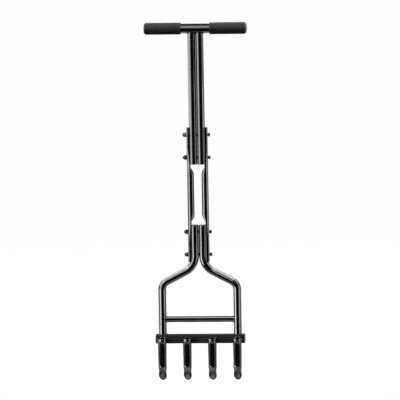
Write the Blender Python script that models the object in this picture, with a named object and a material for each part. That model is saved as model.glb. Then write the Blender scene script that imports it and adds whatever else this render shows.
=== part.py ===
# Manual lawn aerator: a T-handle on a shaft of two tubes, two splice tubes, a forked foot frame
# and a foot bar with four hollow coring tines.
# Metres, +Z up. X runs along the handlebar, the tines stand towards -Y, and the tips reach z = 0.

import math

import bmesh
import bpy

# Running gap between pieces that touch or are welded to each other
FIT_GAP = 0.0003

# Handlebar with its foam grips and end plugs
HANDLEBAR_DIAMETER = 0.0254
HANDLEBAR_WALL = 0.0015
HANDLEBAR_LENGTH = 0.260
HANDLEBAR_PLUG_FLANGE = 0.003
HANDLEBAR_PLUG_DEPTH = 0.014
GRIP_DIAMETER = 0.031
GRIP_LENGTH = 0.0925
GRIP_EDGE_RADIUS = 0.0015

# Shaft tubes: the upper pair and the legs share one size of tube
SHAFT_TUBE_DIAMETER = 0.0207
SHAFT_TUBE_WALL = 0.0015
UPPER_TUBE_LENGTH = 0.3515
SPLICE_OPENING = 0.1605
TUBE_PLUG_FLANGE = 0.0012
TUBE_PLUG_DEPTH = 0.009
TUBE_PLUG_WALL = 0.0015

# Connectors: round in the middle, with both ends pressed to a squared channel on the shaft tubes.
# The channel's corners round off towards its mouth, past which it opens out to the round tube.
CONNECTOR_DIAMETER = 0.018
CONNECTOR_WALL = 0.0013
CONNECTOR_OVERLAP = 0.0945
PRESSED_SLIT = 0.0004
CHANNEL_FOLD_RADIUS = 0.0004
CHANNEL_FLAT_AT_MOUTH = 0.0006
SQUARED_LENGTH = 0.048
CHANNEL_PAST_TUBE = 0.002
PRESS_RUNOUT = 0.028
PRESS_RUNOUT_EASE = 0.6

# Through bolts and domed cap nuts
BOLT_DIAMETER = 0.006
BOLT_FROM_CONNECTOR_END = 0.019
BOLT_SPACING = 0.059
BOLT_COLLAR_DIAMETER = 0.0078
BOLT_COLLAR_HEIGHT = 0.002
BOLT_HEAD_DIAMETER = 0.010
BOLT_HEAD_HEIGHT = 0.0044
BOLT_DOME_ANGLE = math.radians(60)
BOLT_SOCKET_ACROSS_FLATS = 0.004
BOLT_SOCKET_DEPTH = 0.0025
BOLT_THREAD_IN_NUT = 0.0066
CAP_NUT_ACROSS_FLATS = 0.011
CAP_NUT_HEX_HEIGHT = 0.0055
CAP_NUT_SHOULDER = 0.0006
CAP_NUT_DOME_DIAMETER = 0.0103
CAP_NUT_HEIGHT = 0.0104
CAP_NUT_BORE_DEPTH = 0.0078

# Legs: upright at the top, bent out, sloped, bent back and upright again on the foot bar
LEG_SPREAD = 0.0977
LEG_TOP_LENGTH = 0.079
LEG_FOOT_LENGTH = 0.1164
LEG_BEND_ANGLE = math.radians(62.6)
UPPER_BEND_RADIUS = 0.0465
LOWER_BEND_RADIUS = 0.024

# Crossbar between the legs
CROSSBAR_DIAMETER = 0.016
CROSSBAR_WALL = 0.0013
CROSSBAR_ABOVE_FOOT_BAR = 0.039

# Foot bar with its end plugs
FOOT_BAR_SIZE = 0.023
FOOT_BAR_WALL = 0.0015
FOOT_BAR_CORNER = 0.0015
FOOT_BAR_PAST_LEG = 0.0164
FOOT_BAR_PLUG_FLANGE = 0.002
FOOT_BAR_PLUG_DEPTH = 0.012
FOOT_BAR_PLUG_WALL = 0.0016

# Tines: tube, side window, drawn-in cutting end and slanted cuts at both ends
TINE_COUNT = 4
TINE_DIAMETER = 0.023
TINE_WALL = 0.0018
TINE_BELOW_FOOT_BAR = 0.0954
TINE_ABOVE_UNDERSIDE = 0.0153
TINE_TOP_SLANT = math.radians(8)
TINE_WINDOW_WIDTH = 0.0138
TINE_WINDOW_LENGTH = 0.060
TINE_WINDOW_ABOVE_TIP = 0.038
TINE_WINDOW_CORNER = 0.005
TINE_END_DIAMETER = 0.021
TINE_DRAW_IN_LENGTH = 0.007
TINE_DRAW_IN_BELOW_WINDOW = 0.0022
TINE_TIP_CUT_HEIGHT = 0.0288

# Facets: sides of a round piece and of a hidden hole, steps round bends, corners, domes and lips,
# and steps along the rounding and the opening of a connector's channel
ROUND_SIDES = 24
HOLE_SIDES = 12
BEND_STEPS = 6
CORNER_STEPS = 3
DOME_STEPS = 5
CHANNEL_STEPS = 4
ROUNDING_STEPS = 3
RUNOUT_STEPS = 5
SMOOTH_ANGLE = math.radians(40)
CUT_MARGIN = 0.005

# Places that follow from the sizes, from the tips upwards
TUBE_RADIUS = SHAFT_TUBE_DIAMETER / 2
TUBE_X = TUBE_RADIUS + FIT_GAP / 2
FOOT_BAR_BOTTOM = TINE_BELOW_FOOT_BAR
FOOT_BAR_TOP = FOOT_BAR_BOTTOM + FOOT_BAR_SIZE
FOOT_BAR_LENGTH = 2 * (LEG_SPREAD + FOOT_BAR_PAST_LEG)
LEG_BOTTOM = FOOT_BAR_TOP + FIT_GAP
LEG_LOWER_BEND = LEG_BOTTOM + LEG_FOOT_LENGTH
BEND_RUN = 1 - math.cos(LEG_BEND_ANGLE)
BEND_RISE = math.sin(LEG_BEND_ANGLE)
BEND_RADII = UPPER_BEND_RADIUS + LOWER_BEND_RADIUS
LEG_SLOPE_LENGTH = (LEG_SPREAD - TUBE_X - BEND_RADII * BEND_RUN) / BEND_RISE
LEG_UPPER_BEND = LEG_LOWER_BEND + BEND_RADII * BEND_RISE + LEG_SLOPE_LENGTH * math.cos(LEG_BEND_ANGLE)
LEG_TOP = LEG_UPPER_BEND + LEG_TOP_LENGTH
UPPER_TUBE_BOTTOM = LEG_TOP + SPLICE_OPENING
HANDLEBAR_HEIGHT = UPPER_TUBE_BOTTOM + UPPER_TUBE_LENGTH
CONNECTOR_BOTTOM = LEG_TOP - CONNECTOR_OVERLAP
CONNECTOR_TOP = UPPER_TUBE_BOTTOM + CONNECTOR_OVERLAP
CROSSBAR_HEIGHT = FOOT_BAR_TOP + CROSSBAR_ABOVE_FOOT_BAR

# The pressed lips of a connector rest on the shaft tube, which sets its distance from the middle
CONNECTOR_RADIUS = CONNECTOR_DIAMETER / 2
LIP_RADIUS = CONNECTOR_WALL + PRESSED_SLIT / 2
LIP_REACH = CONNECTOR_RADIUS - LIP_RADIUS
CHANNEL_ANGLE = math.acos(LIP_RADIUS / LIP_REACH)
LIP_Y = LIP_REACH * math.sin(CHANNEL_ANGLE)
LIP_TO_TUBE = TUBE_RADIUS + LIP_RADIUS + FIT_GAP
CONNECTOR_X = TUBE_X - LIP_RADIUS + math.sqrt(LIP_TO_TUBE ** 2 - LIP_Y ** 2)
CONNECTOR_OUTSIDE = CONNECTOR_X + CONNECTOR_RADIUS
SQUARED_CORNER = CHANNEL_FOLD_RADIUS + 2 * LIP_RADIUS
MOUTH_CORNER = CONNECTOR_RADIUS - CHANNEL_FLAT_AT_MOUTH

# Depths: the shaft stands where the middle of the whole depth falls on y = 0
TINE_RADIUS = TINE_DIAMETER / 2
TINE_TO_SHAFT = FOOT_BAR_SIZE / 2 + FIT_GAP + TINE_RADIUS
FRONT_REACH = TINE_TO_SHAFT + TINE_RADIUS
BACK_REACH = GRIP_DIAMETER / 2
SHAFT_Y = (FRONT_REACH - BACK_REACH) / 2
TINE_Y = SHAFT_Y - TINE_TO_SHAFT
TINE_PITCH = 2 * LEG_SPREAD / (TINE_COUNT - 1)
TINE_TOP = FOOT_BAR_BOTTOM + TINE_ABOVE_UNDERSIDE

# A piece made upright is turned so that its own Z runs along world X
ALONG_X = (0, math.pi / 2, 0)
AGAINST_X = (0, -math.pi / 2, 0)


def clear_scene():
    for item in list(bpy.data.objects):
        bpy.data.objects.remove(item)


def make_material(name, color, roughness, metallic):
    material = bpy.data.materials.new(name)
    material.use_nodes = True
    shader = material.node_tree.nodes["Principled BSDF"]
    shader.inputs["Base Color"].default_value = (*color, 1)
    shader.inputs["Roughness"].default_value = roughness
    shader.inputs["Metallic"].default_value = metallic
    return material


def bridge(mesh, near, far):
    # Joins two loops with faces; a loop of one vertex is a pole
    count = max(len(near), len(far))
    for i in range(count):
        j = (i + 1) % count
        corners = [near[i % len(near)], near[j % len(near)], far[j % len(far)], far[i % len(far)]]
        mesh.faces.new(list(dict.fromkeys(corners)))


def loft(name, loops, material, wrap=False):
    # One closed body through a row of loops; wrap joins the last loop to the first, as on a tube
    mesh = bmesh.new()
    rows = [[mesh.verts.new(point) for point in loop] for loop in loops]
    for near, far in zip(rows, rows[1:]):
        bridge(mesh, near, far)
    if wrap:
        bridge(mesh, rows[-1], rows[0])
    bmesh.ops.recalc_face_normals(mesh, faces=mesh.faces)
    data = bpy.data.meshes.new(name)
    mesh.to_mesh(data)
    mesh.free()
    data.shade_smooth()
    data.set_sharp_from_angle(angle=SMOOTH_ANGLE)
    data.materials.append(material)
    piece = bpy.data.objects.new(name, data)
    bpy.context.collection.objects.link(piece)
    return piece


def place(piece, location, rotation=(0, 0, 0)):
    piece.location = location
    piece.rotation_euler = rotation
    return piece


def cutter(piece):
    piece.hide_render = True
    piece.display_type = "WIRE"
    return piece


def cut(piece, *tools):
    for tool in tools:
        modifier = piece.modifiers.new(tool.name, "BOOLEAN")
        modifier.operation = "DIFFERENCE"
        modifier.solver = "EXACT"
        modifier.object = tool


def circle(radius, height, sides=ROUND_SIDES):
    angles = [math.tau * i / sides for i in range(sides)]
    return [(radius * math.cos(a), radius * math.sin(a), height) for a in angles]


def hexagon(across_flats, height):
    # A hexagon with as many points as the circles that it is joined to
    points = []
    for i in range(ROUND_SIDES):
        angle = math.tau * i / ROUND_SIDES
        off_flat = (angle + math.pi / 6) % (math.pi / 3) - math.pi / 6
        radius = across_flats / 2 / math.cos(off_flat)
        points.append((radius * math.cos(angle), radius * math.sin(angle), height))
    return points


def rounded_rectangle(width, depth, corner, height):
    points = []
    centres = ((1, 1), (-1, 1), (-1, -1), (1, -1))
    for quarter, (right, back) in enumerate(centres):
        x = right * (width / 2 - corner)
        y = back * (depth / 2 - corner)
        for step in range(CORNER_STEPS + 1):
            angle = math.pi / 2 * (quarter + step / CORNER_STEPS)
            points.append((x + corner * math.cos(angle), y + corner * math.sin(angle), height))
    return points


def straight_tube(name, diameter, wall, bottom, top, material):
    outer = diameter / 2
    inner = outer - wall
    loops = [circle(outer, bottom), circle(outer, top), circle(inner, top), circle(inner, bottom)]
    return loft(name, loops, material, wrap=True)


def solid_rod(name, radius, bottom, top, material, sides=ROUND_SIDES):
    loops = [[(0, 0, bottom)], circle(radius, bottom, sides), circle(radius, top, sides), [(0, 0, top)]]
    return loft(name, loops, material)


def round_plug(name, bore_radius, flange_radius, flange, depth, wall, material):
    # A cup pushed into a tube: its flange covers the tube's end, above local z = 0
    stem = bore_radius - FIT_GAP
    edge = flange / 3
    loops = [
        [(0, 0, 0)],
        circle(stem - wall, 0),
        circle(stem - wall, -depth),
        circle(stem, -depth),
        circle(stem, FIT_GAP),
        circle(flange_radius, FIT_GAP),
        circle(flange_radius, FIT_GAP + flange - edge),
        circle(flange_radius - edge, FIT_GAP + flange),
        [(0, 0, FIT_GAP + flange)],
    ]
    return loft(name, loops, material)


def make_handlebar(paint, foam, plastic):
    half = HANDLEBAR_LENGTH / 2
    bar = straight_tube("handlebar", HANDLEBAR_DIAMETER, HANDLEBAR_WALL, -half, half, paint)
    place(bar, (0, SHAFT_Y, HANDLEBAR_HEIGHT), ALONG_X)
    for side, rotation, sign in (("left", AGAINST_X, -1), ("right", ALONG_X, 1)):
        place(make_grip("grip_" + side, foam), (0, SHAFT_Y, HANDLEBAR_HEIGHT), rotation)
        plug = round_plug(
            "handlebar_plug_" + side,
            HANDLEBAR_DIAMETER / 2 - HANDLEBAR_WALL,
            HANDLEBAR_DIAMETER / 2,
            HANDLEBAR_PLUG_FLANGE,
            HANDLEBAR_PLUG_DEPTH,
            TUBE_PLUG_WALL,
            plastic,
        )
        place(plug, (sign * half, SHAFT_Y, HANDLEBAR_HEIGHT), rotation)


def make_grip(name, foam):
    # A foam sleeve with rounded edges, flush with the end of the handlebar
    inner = HANDLEBAR_DIAMETER / 2 + FIT_GAP
    outer = GRIP_DIAMETER / 2
    end = HANDLEBAR_LENGTH / 2
    start = end - GRIP_LENGTH
    loops = [circle(inner, start)]
    for height, first in ((start + GRIP_EDGE_RADIUS, -math.pi / 2), (end - GRIP_EDGE_RADIUS, 0)):
        for step in range(CORNER_STEPS + 1):
            angle = first + math.pi / 2 * step / CORNER_STEPS
            radius = outer - GRIP_EDGE_RADIUS * (1 - math.cos(angle))
            loops.append(circle(radius, height + GRIP_EDGE_RADIUS * math.sin(angle)))
    loops.append(circle(inner, end))
    return loft(name, loops, foam, wrap=True)


def make_upper_tubes(paint, plastic, bolt_holes):
    # The handlebar's own outline, with the fit gap, shapes the tops of the two tubes
    half = HANDLEBAR_LENGTH / 2
    saddle = cutter(solid_rod("saddle_cut", HANDLEBAR_DIAMETER / 2 + FIT_GAP, -half, half, paint))
    place(saddle, (0, SHAFT_Y, HANDLEBAR_HEIGHT), ALONG_X)
    for side, sign in (("left", -1), ("right", 1)):
        tube = straight_tube(
            "upper_tube_" + side, SHAFT_TUBE_DIAMETER, SHAFT_TUBE_WALL, 0, UPPER_TUBE_LENGTH, paint)
        place(tube, (sign * TUBE_X, SHAFT_Y, UPPER_TUBE_BOTTOM))
        cut(tube, saddle, *bolt_holes)
        plug = make_tube_plug("upper_tube_plug_" + side, plastic)
        place(plug, (sign * TUBE_X, SHAFT_Y, UPPER_TUBE_BOTTOM), (math.pi, 0, 0))


def make_tube_plug(name, plastic):
    bore = TUBE_RADIUS - SHAFT_TUBE_WALL
    return round_plug(
        name, bore, TUBE_RADIUS, TUBE_PLUG_FLANGE, TUBE_PLUG_DEPTH, TUBE_PLUG_WALL, plastic)


def leg_stations():
    # Distance from the middle, height and tilt of the leg's centreline, from the top downwards
    stations = [(TUBE_X, LEG_TOP, 0)]
    for step in range(BEND_STEPS + 1):
        tilt = LEG_BEND_ANGLE * step / BEND_STEPS
        x = TUBE_X + UPPER_BEND_RADIUS * (1 - math.cos(tilt))
        stations.append((x, LEG_UPPER_BEND - UPPER_BEND_RADIUS * math.sin(tilt), tilt))
    for step in range(BEND_STEPS + 1):
        tilt = LEG_BEND_ANGLE * (1 - step / BEND_STEPS)
        x = LEG_SPREAD - LOWER_BEND_RADIUS * (1 - math.cos(tilt))
        stations.append((x, LEG_LOWER_BEND + LOWER_BEND_RADIUS * math.sin(tilt), tilt))
    stations.append((LEG_SPREAD, LEG_BOTTOM, 0))
    return stations


def leg_loop(station, radius, sign):
    x, height, tilt = station
    points = []
    for across, depth, _ in circle(radius, 0):
        outward = x + across * math.cos(tilt)
        points.append((sign * outward, depth, height + across * math.sin(tilt)))
    return points


def leg_envelope(name, sign, material):
    # A solid leg, thicker by the fit gap, that relieves the lower end of a connector
    stations = leg_stations()
    radius = TUBE_RADIUS + FIT_GAP
    first = [(sign * TUBE_X, 0, LEG_TOP)]
    last = [(sign * LEG_SPREAD, 0, LEG_BOTTOM)]
    loops = [first] + [leg_loop(station, radius, sign) for station in stations] + [last]
    return place(cutter(loft(name, loops, material)), (0, SHAFT_Y, 0))


def make_legs(paint, plastic, bolt_holes):
    stations = leg_stations()
    bore = TUBE_RADIUS - SHAFT_TUBE_WALL
    for side, sign in (("left", -1), ("right", 1)):
        outside = [leg_loop(station, TUBE_RADIUS, sign) for station in stations]
        inside = [leg_loop(station, bore, sign) for station in reversed(stations)]
        leg = loft("leg_" + side, outside + inside, paint, wrap=True)
        place(leg, (0, SHAFT_Y, 0))
        cut(leg, *bolt_holes)
        plug = make_tube_plug("leg_plug_" + side, plastic)
        place(plug, (sign * TUBE_X, SHAFT_Y, LEG_TOP))


def channel_side(corner):
    # Half the middle line of a pressed end's wall, x pointing away from the shaft: from the middle of
    # the outer side round a corner to the lip, then along the inner wall to the middle of the hollow
    lean_x = math.cos(CHANNEL_ANGLE)
    lean_y = math.sin(CHANNEL_ANGLE)
    centre_x = CONNECTOR_RADIUS - corner
    flat = (centre_x - LIP_RADIUS + (corner - LIP_RADIUS) * lean_x) / lean_y
    centre_y = LIP_Y - flat * lean_x - (corner - LIP_RADIUS) * lean_y
    outer = corner - CONNECTOR_WALL / 2
    inner = corner - 2 * LIP_RADIUS + CONNECTOR_WALL / 2
    lip = LIP_RADIUS - CONNECTOR_WALL / 2
    bends = [CHANNEL_ANGLE * step / CHANNEL_STEPS for step in range(CHANNEL_STEPS + 1)]
    points = [(centre_x + outer, 0)]
    points += [(centre_x + outer * math.cos(a), centre_y + outer * math.sin(a)) for a in bends]
    for step in range(CHANNEL_STEPS + 1):
        angle = CHANNEL_ANGLE + math.pi * step / CHANNEL_STEPS
        points.append((LIP_RADIUS + lip * math.cos(angle), LIP_Y + lip * math.sin(angle)))
    points += [(centre_x + inner * math.cos(a), centre_y + inner * math.sin(a)) for a in reversed(bends)]
    points.append((centre_x + inner, 0))
    return points


def wall_line(corner, press):
    # The wall's whole middle line: press 1 is the channel, press 0 the round tube, round which the
    # channel's points are spread by length
    side = channel_side(corner)
    lengths = [0]
    for near, far in zip(side, side[1:]):
        lengths.append(lengths[-1] + math.dist(near, far))
    to_lip = lengths[CHANNEL_STEPS + 2]
    past_lip = lengths[-1] - to_lip
    radius = CONNECTOR_RADIUS - CONNECTOR_WALL / 2
    line = []
    for length, (x, y) in zip(lengths, side):
        if length < to_lip:
            angle = CHANNEL_ANGLE * length / to_lip
        else:
            angle = CHANNEL_ANGLE + (math.pi - CHANNEL_ANGLE) * (length - to_lip) / past_lip
        round_x = radius * math.cos(angle)
        round_y = radius * math.sin(angle)
        line.append((round_x + press * (x - round_x), round_y + press * (y - round_y)))
    return line + [(x, -y) for x, y in reversed(line[1:-1])]


def connector_loop(station, outward):
    # One face of the wall: the middle line moved outward, or inward where outward is negative
    corner, press, height = station
    line = wall_line(corner, press)
    points = []
    for i, (x, y) in enumerate(line):
        before = line[i - 1]
        after = line[(i + 1) % len(line)]
        to_here = math.dist(before, line[i])
        to_next = math.dist(line[i], after)
        along_x = (x - before[0]) / to_here + (after[0] - x) / to_next
        along_y = (y - before[1]) / to_here + (after[1] - y) / to_next
        size = math.hypot(along_x, along_y)
        points.append((x + outward * along_y / size, y - outward * along_x / size, height))
    return points


def ease(share):
    return share * share * (3 - 2 * share)


def connector_stations():
    # Corner radius, press and height along a connector, from the bottom up
    mouth = CONNECTOR_OVERLAP + CHANNEL_PAST_TUBE
    length = CONNECTOR_TOP - CONNECTOR_BOTTOM
    stations = [(SQUARED_CORNER, 1, 0)]
    for step in range(ROUNDING_STEPS + 1):
        share = step / ROUNDING_STEPS
        corner = SQUARED_CORNER + (MOUTH_CORNER - SQUARED_CORNER) * ease(share)
        stations.append((corner, 1, SQUARED_LENGTH + (mouth - SQUARED_LENGTH) * share))
    for step in range(1, RUNOUT_STEPS + 1):
        share = step / RUNOUT_STEPS
        press = 1 - ease(share ** PRESS_RUNOUT_EASE)
        stations.append((MOUTH_CORNER, press, mouth + PRESS_RUNOUT * share))
    return stations + [(corner, press, length - height) for corner, press, height in reversed(stations)]


def make_connectors(paint, bolt_holes):
    stations = connector_stations()
    for side, sign, turn in (("left", -1, math.pi), ("right", 1, 0)):
        outside = [connector_loop(station, CONNECTOR_WALL / 2) for station in stations]
        inside = [connector_loop(station, -CONNECTOR_WALL / 2) for station in reversed(stations)]
        connector = loft("connector_" + side, outside + inside, paint, wrap=True)
        place(connector, (sign * CONNECTOR_X, SHAFT_Y, CONNECTOR_BOTTOM), (0, 0, turn))
        relief = leg_envelope("leg_relief_" + side, sign, paint)
        cut(connector, relief, *bolt_holes)


def bolt_heights():
    first = CONNECTOR_TOP - BOLT_FROM_CONNECTOR_END
    last = CONNECTOR_BOTTOM + BOLT_FROM_CONNECTOR_END
    return {
        "upper_1": first,
        "upper_2": first - BOLT_SPACING,
        "lower_1": last + BOLT_SPACING,
        "lower_2": last,
    }


def make_bolt_holes(material):
    half = CONNECTOR_OUTSIDE + CUT_MARGIN
    holes = []
    for name, height in bolt_heights().items():
        hole = solid_rod(
            "bolt_hole_" + name, BOLT_DIAMETER / 2 + FIT_GAP, -half, half, material, HOLE_SIDES)
        holes.append(place(cutter(hole), (0, SHAFT_Y, height), ALONG_X))
    return holes


def make_bolt(name, steel):
    # Local z = 0 is under the collar, the shank points down and the head up
    shank = BOLT_DIAMETER / 2
    tip = 2 * (CONNECTOR_OUTSIDE + FIT_GAP) + BOLT_THREAD_IN_NUT
    collar = BOLT_COLLAR_DIAMETER / 2
    head = BOLT_HEAD_DIAMETER / 2
    crown = BOLT_COLLAR_HEIGHT + BOLT_HEAD_HEIGHT
    loops = [
        [(0, 0, -tip)],
        circle(shank, -tip),
        circle(shank, 0),
        circle(collar, 0),
        circle(collar, BOLT_COLLAR_HEIGHT),
        circle(head, BOLT_COLLAR_HEIGHT),
    ]
    dome = BOLT_HEAD_HEIGHT / 2
    for step in range(CORNER_STEPS + 1):
        angle = BOLT_DOME_ANGLE * step / CORNER_STEPS
        height = crown - dome + dome * math.sin(angle) / math.sin(BOLT_DOME_ANGLE)
        loops.append(circle(head * math.cos(angle), height))
    floor = crown - BOLT_SOCKET_DEPTH
    loops.append(hexagon(BOLT_SOCKET_ACROSS_FLATS, crown))
    loops.append(hexagon(BOLT_SOCKET_ACROSS_FLATS, floor))
    loops.append([(0, 0, floor)])
    return loft(name, loops, steel)


def make_cap_nut(name, steel):
    # Local z = 0 is the seat, and the dome points up
    bore = BOLT_DIAMETER / 2 + FIT_GAP
    dome = CAP_NUT_DOME_DIAMETER / 2
    dome_height = CAP_NUT_HEIGHT - CAP_NUT_HEX_HEIGHT - CAP_NUT_SHOULDER
    loops = [
        [(0, 0, CAP_NUT_BORE_DEPTH)],
        circle(bore, CAP_NUT_BORE_DEPTH),
        circle(bore, 0),
        hexagon(CAP_NUT_ACROSS_FLATS, 0),
        hexagon(CAP_NUT_ACROSS_FLATS, CAP_NUT_HEX_HEIGHT),
    ]
    for step in range(DOME_STEPS):
        angle = math.pi / 2 * step / DOME_STEPS
        height = CAP_NUT_HEIGHT - dome_height + dome_height * math.sin(angle)
        loops.append(circle(dome * math.cos(angle), height))
    loops.append([(0, 0, CAP_NUT_HEIGHT)])
    return loft(name, loops, steel)


def make_fasteners(steel):
    seat = CONNECTOR_OUTSIDE + FIT_GAP
    for name, height in bolt_heights().items():
        place(make_bolt("bolt_" + name, steel), (seat, SHAFT_Y, height), ALONG_X)
        place(make_cap_nut("cap_nut_" + name, steel), (-seat, SHAFT_Y, height), AGAINST_X)


def make_crossbar(paint):
    bar = straight_tube("crossbar", CROSSBAR_DIAMETER, CROSSBAR_WALL, -LEG_SPREAD, LEG_SPREAD, paint)
    place(bar, (0, SHAFT_Y, CROSSBAR_HEIGHT), ALONG_X)
    reach = CROSSBAR_DIAMETER / 2 + CUT_MARGIN
    for side, sign in (("left", -1), ("right", 1)):
        saddle = solid_rod("crossbar_saddle_" + side, TUBE_RADIUS + FIT_GAP, -reach, reach, paint)
        place(cutter(saddle), (sign * LEG_SPREAD, SHAFT_Y, CROSSBAR_HEIGHT))
        cut(bar, saddle)


def make_foot_bar(paint, plastic):
    half = FOOT_BAR_LENGTH / 2
    size = FOOT_BAR_SIZE
    bore = size - 2 * FOOT_BAR_WALL
    bore_corner = FOOT_BAR_CORNER / 2
    middle = FOOT_BAR_BOTTOM + size / 2
    loops = [
        rounded_rectangle(size, size, FOOT_BAR_CORNER, -half),
        rounded_rectangle(size, size, FOOT_BAR_CORNER, half),
        rounded_rectangle(bore, bore, bore_corner, half),
        rounded_rectangle(bore, bore, bore_corner, -half),
    ]
    place(loft("foot_bar", loops, paint, wrap=True), (0, SHAFT_Y, middle), ALONG_X)
    stem = bore - 2 * FIT_GAP
    hollow = stem - 2 * FOOT_BAR_PLUG_WALL
    face = FIT_GAP + FOOT_BAR_PLUG_FLANGE
    for side, sign, rotation in (("left", -1, AGAINST_X), ("right", 1, ALONG_X)):
        plug_loops = [
            [(0, 0, 0)],
            rounded_rectangle(hollow, hollow, bore_corner, 0),
            rounded_rectangle(hollow, hollow, bore_corner, -FOOT_BAR_PLUG_DEPTH),
            rounded_rectangle(stem, stem, bore_corner, -FOOT_BAR_PLUG_DEPTH),
            rounded_rectangle(stem, stem, bore_corner, FIT_GAP),
            rounded_rectangle(size, size, FOOT_BAR_CORNER, FIT_GAP),
            rounded_rectangle(size, size, FOOT_BAR_CORNER, face),
            [(0, 0, face)],
        ]
        plug = loft("foot_bar_plug_" + side, plug_loops, plastic)
        place(plug, (sign * half, SHAFT_Y, middle), rotation)


def slant_cutter(name, x, height, slant, material):
    # A slab below a slanted plane that passes through the tine's axis at the given height
    width = 2 * TINE_DIAMETER
    depth = 4 * TINE_DIAMETER
    loops = [
        [(0, 0, -depth)],
        rounded_rectangle(width, depth, TINE_WALL, -depth),
        rounded_rectangle(width, depth, TINE_WALL, 0),
        [(0, 0, 0)],
    ]
    return place(cutter(loft(name, loops, material)), (x, TINE_Y, height), (slant, 0, 0))


def window_cutter(name, x, material):
    # Made lying down, then stood up, from the tine's axis out through its front wall
    reach = TINE_DIAMETER
    width = TINE_WINDOW_WIDTH
    length = TINE_WINDOW_LENGTH
    loops = [
        [(0, 0, 0)],
        rounded_rectangle(width, length, TINE_WINDOW_CORNER, 0),
        rounded_rectangle(width, length, TINE_WINDOW_CORNER, reach),
        [(0, 0, reach)],
    ]
    middle = TINE_WINDOW_ABOVE_TIP + length / 2
    return place(cutter(loft(name, loops, material)), (x, TINE_Y, middle), (math.pi / 2, 0, 0))


def make_tines(paint):
    wide = TINE_RADIUS
    narrow = TINE_END_DIAMETER / 2
    draw_in_top = TINE_WINDOW_ABOVE_TIP - TINE_DRAW_IN_BELOW_WINDOW
    draw_in_bottom = draw_in_top - TINE_DRAW_IN_LENGTH
    blank_bottom = -CUT_MARGIN
    blank_top = TINE_TOP + CUT_MARGIN
    outline = ((wide, blank_top), (wide, draw_in_top), (narrow, draw_in_bottom), (narrow, blank_bottom))
    tip_slant = math.atan2(TINE_TIP_CUT_HEIGHT, TINE_END_DIAMETER)
    for number in range(1, TINE_COUNT + 1):
        x = TINE_PITCH * (number - 1) - LEG_SPREAD
        outside = [circle(radius, height) for radius, height in outline]
        inside = [circle(radius - TINE_WALL, height) for radius, height in reversed(outline)]
        tine = loft("tine_%d" % number, outside + inside, paint, wrap=True)
        place(tine, (x, TINE_Y, 0))
        top_cut = slant_cutter("tine_top_cut_%d" % number, x, TINE_TOP, TINE_TOP_SLANT + math.pi, paint)
        tip_cut = slant_cutter(
            "tine_tip_cut_%d" % number, x, TINE_TIP_CUT_HEIGHT / 2, -tip_slant, paint)
        window = window_cutter("tine_window_%d" % number, x, paint)
        cut(tine, top_cut, tip_cut, window)


def make_aerator():
    clear_scene()
    gloss = make_material("black gloss paint", (0.012, 0.012, 0.013), 0.22, 0.0)
    satin = make_material("black satin paint", (0.016, 0.016, 0.017), 0.45, 0.0)
    foam = make_material("dark grey foam", (0.045, 0.045, 0.046), 0.9, 0.0)
    plastic = make_material("black plastic", (0.014, 0.014, 0.014), 0.5, 0.0)
    steel = make_material("black zinc steel", (0.03, 0.03, 0.032), 0.35, 0.8)
    bolt_holes = make_bolt_holes(steel)
    make_handlebar(gloss, foam, plastic)
    make_upper_tubes(gloss, plastic, bolt_holes)
    make_connectors(gloss, bolt_holes)
    make_legs(gloss, plastic, bolt_holes)
    make_fasteners(steel)
    make_crossbar(gloss)
    make_foot_bar(satin, plastic)
    make_tines(satin)


make_aerator()
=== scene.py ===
import math

import bmesh
import bpy
from mathutils import Matrix, Vector, noise


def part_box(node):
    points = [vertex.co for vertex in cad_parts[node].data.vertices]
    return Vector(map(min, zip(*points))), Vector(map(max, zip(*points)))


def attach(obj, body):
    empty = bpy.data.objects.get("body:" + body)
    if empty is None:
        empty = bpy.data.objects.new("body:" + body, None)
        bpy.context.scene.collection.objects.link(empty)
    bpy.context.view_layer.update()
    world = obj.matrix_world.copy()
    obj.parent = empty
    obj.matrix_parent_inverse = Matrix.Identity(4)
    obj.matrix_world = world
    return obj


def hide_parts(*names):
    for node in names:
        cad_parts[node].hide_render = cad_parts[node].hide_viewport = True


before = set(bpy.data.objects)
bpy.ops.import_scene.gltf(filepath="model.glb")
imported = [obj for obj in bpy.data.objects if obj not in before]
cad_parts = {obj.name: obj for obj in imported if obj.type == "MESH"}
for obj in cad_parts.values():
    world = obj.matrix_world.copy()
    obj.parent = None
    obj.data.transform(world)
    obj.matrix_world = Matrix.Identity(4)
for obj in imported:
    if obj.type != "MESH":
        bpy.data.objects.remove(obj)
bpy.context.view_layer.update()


# Sizes that the solids give

def middle(node):
    low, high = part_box(node)
    return (low + high) / 2


def extent(node):
    low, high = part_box(node)
    return high - low


HANDLE = middle("handlebar")
HANDLEBAR_LENGTH = extent("handlebar").x
HANDLEBAR_RADIUS = extent("handlebar").z / 2
GRIP_RADIUS = extent("grip_left").z / 2
GRIP_LENGTH = extent("grip_left").x
SHAFT_Y = HANDLE.y
TUBE_RADIUS = extent("upper_tube_left").x / 2
TUBE_X = middle("upper_tube_right").x
UPPER_TUBE_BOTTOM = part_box("upper_tube_right")[0].z
LEG_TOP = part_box("leg_right")[1].z
LEG_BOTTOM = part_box("leg_right")[0].z
LEG_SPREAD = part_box("leg_right")[1].x - TUBE_RADIUS
CONNECTOR_X = middle("connector_right").x
CONNECTOR_RADIUS = extent("connector_right").x / 2
CONNECTOR_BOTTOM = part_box("connector_right")[0].z
CONNECTOR_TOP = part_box("connector_right")[1].z
FOOT_BAR = middle("foot_bar")
FOOT_BAR_SIZE = extent("foot_bar").z
FOOT_BAR_LENGTH = extent("foot_bar").x
FOOT_BAR_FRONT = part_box("foot_bar")[0].y
FOOT_BAR_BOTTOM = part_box("foot_bar")[0].z
FOOT_BAR_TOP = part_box("foot_bar")[1].z
CROSSBAR = middle("crossbar")
CROSSBAR_RADIUS = extent("crossbar").z / 2
TINES = ("tine_1", "tine_2", "tine_3", "tine_4")
TINE_Y = middle("tine_1").y
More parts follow.
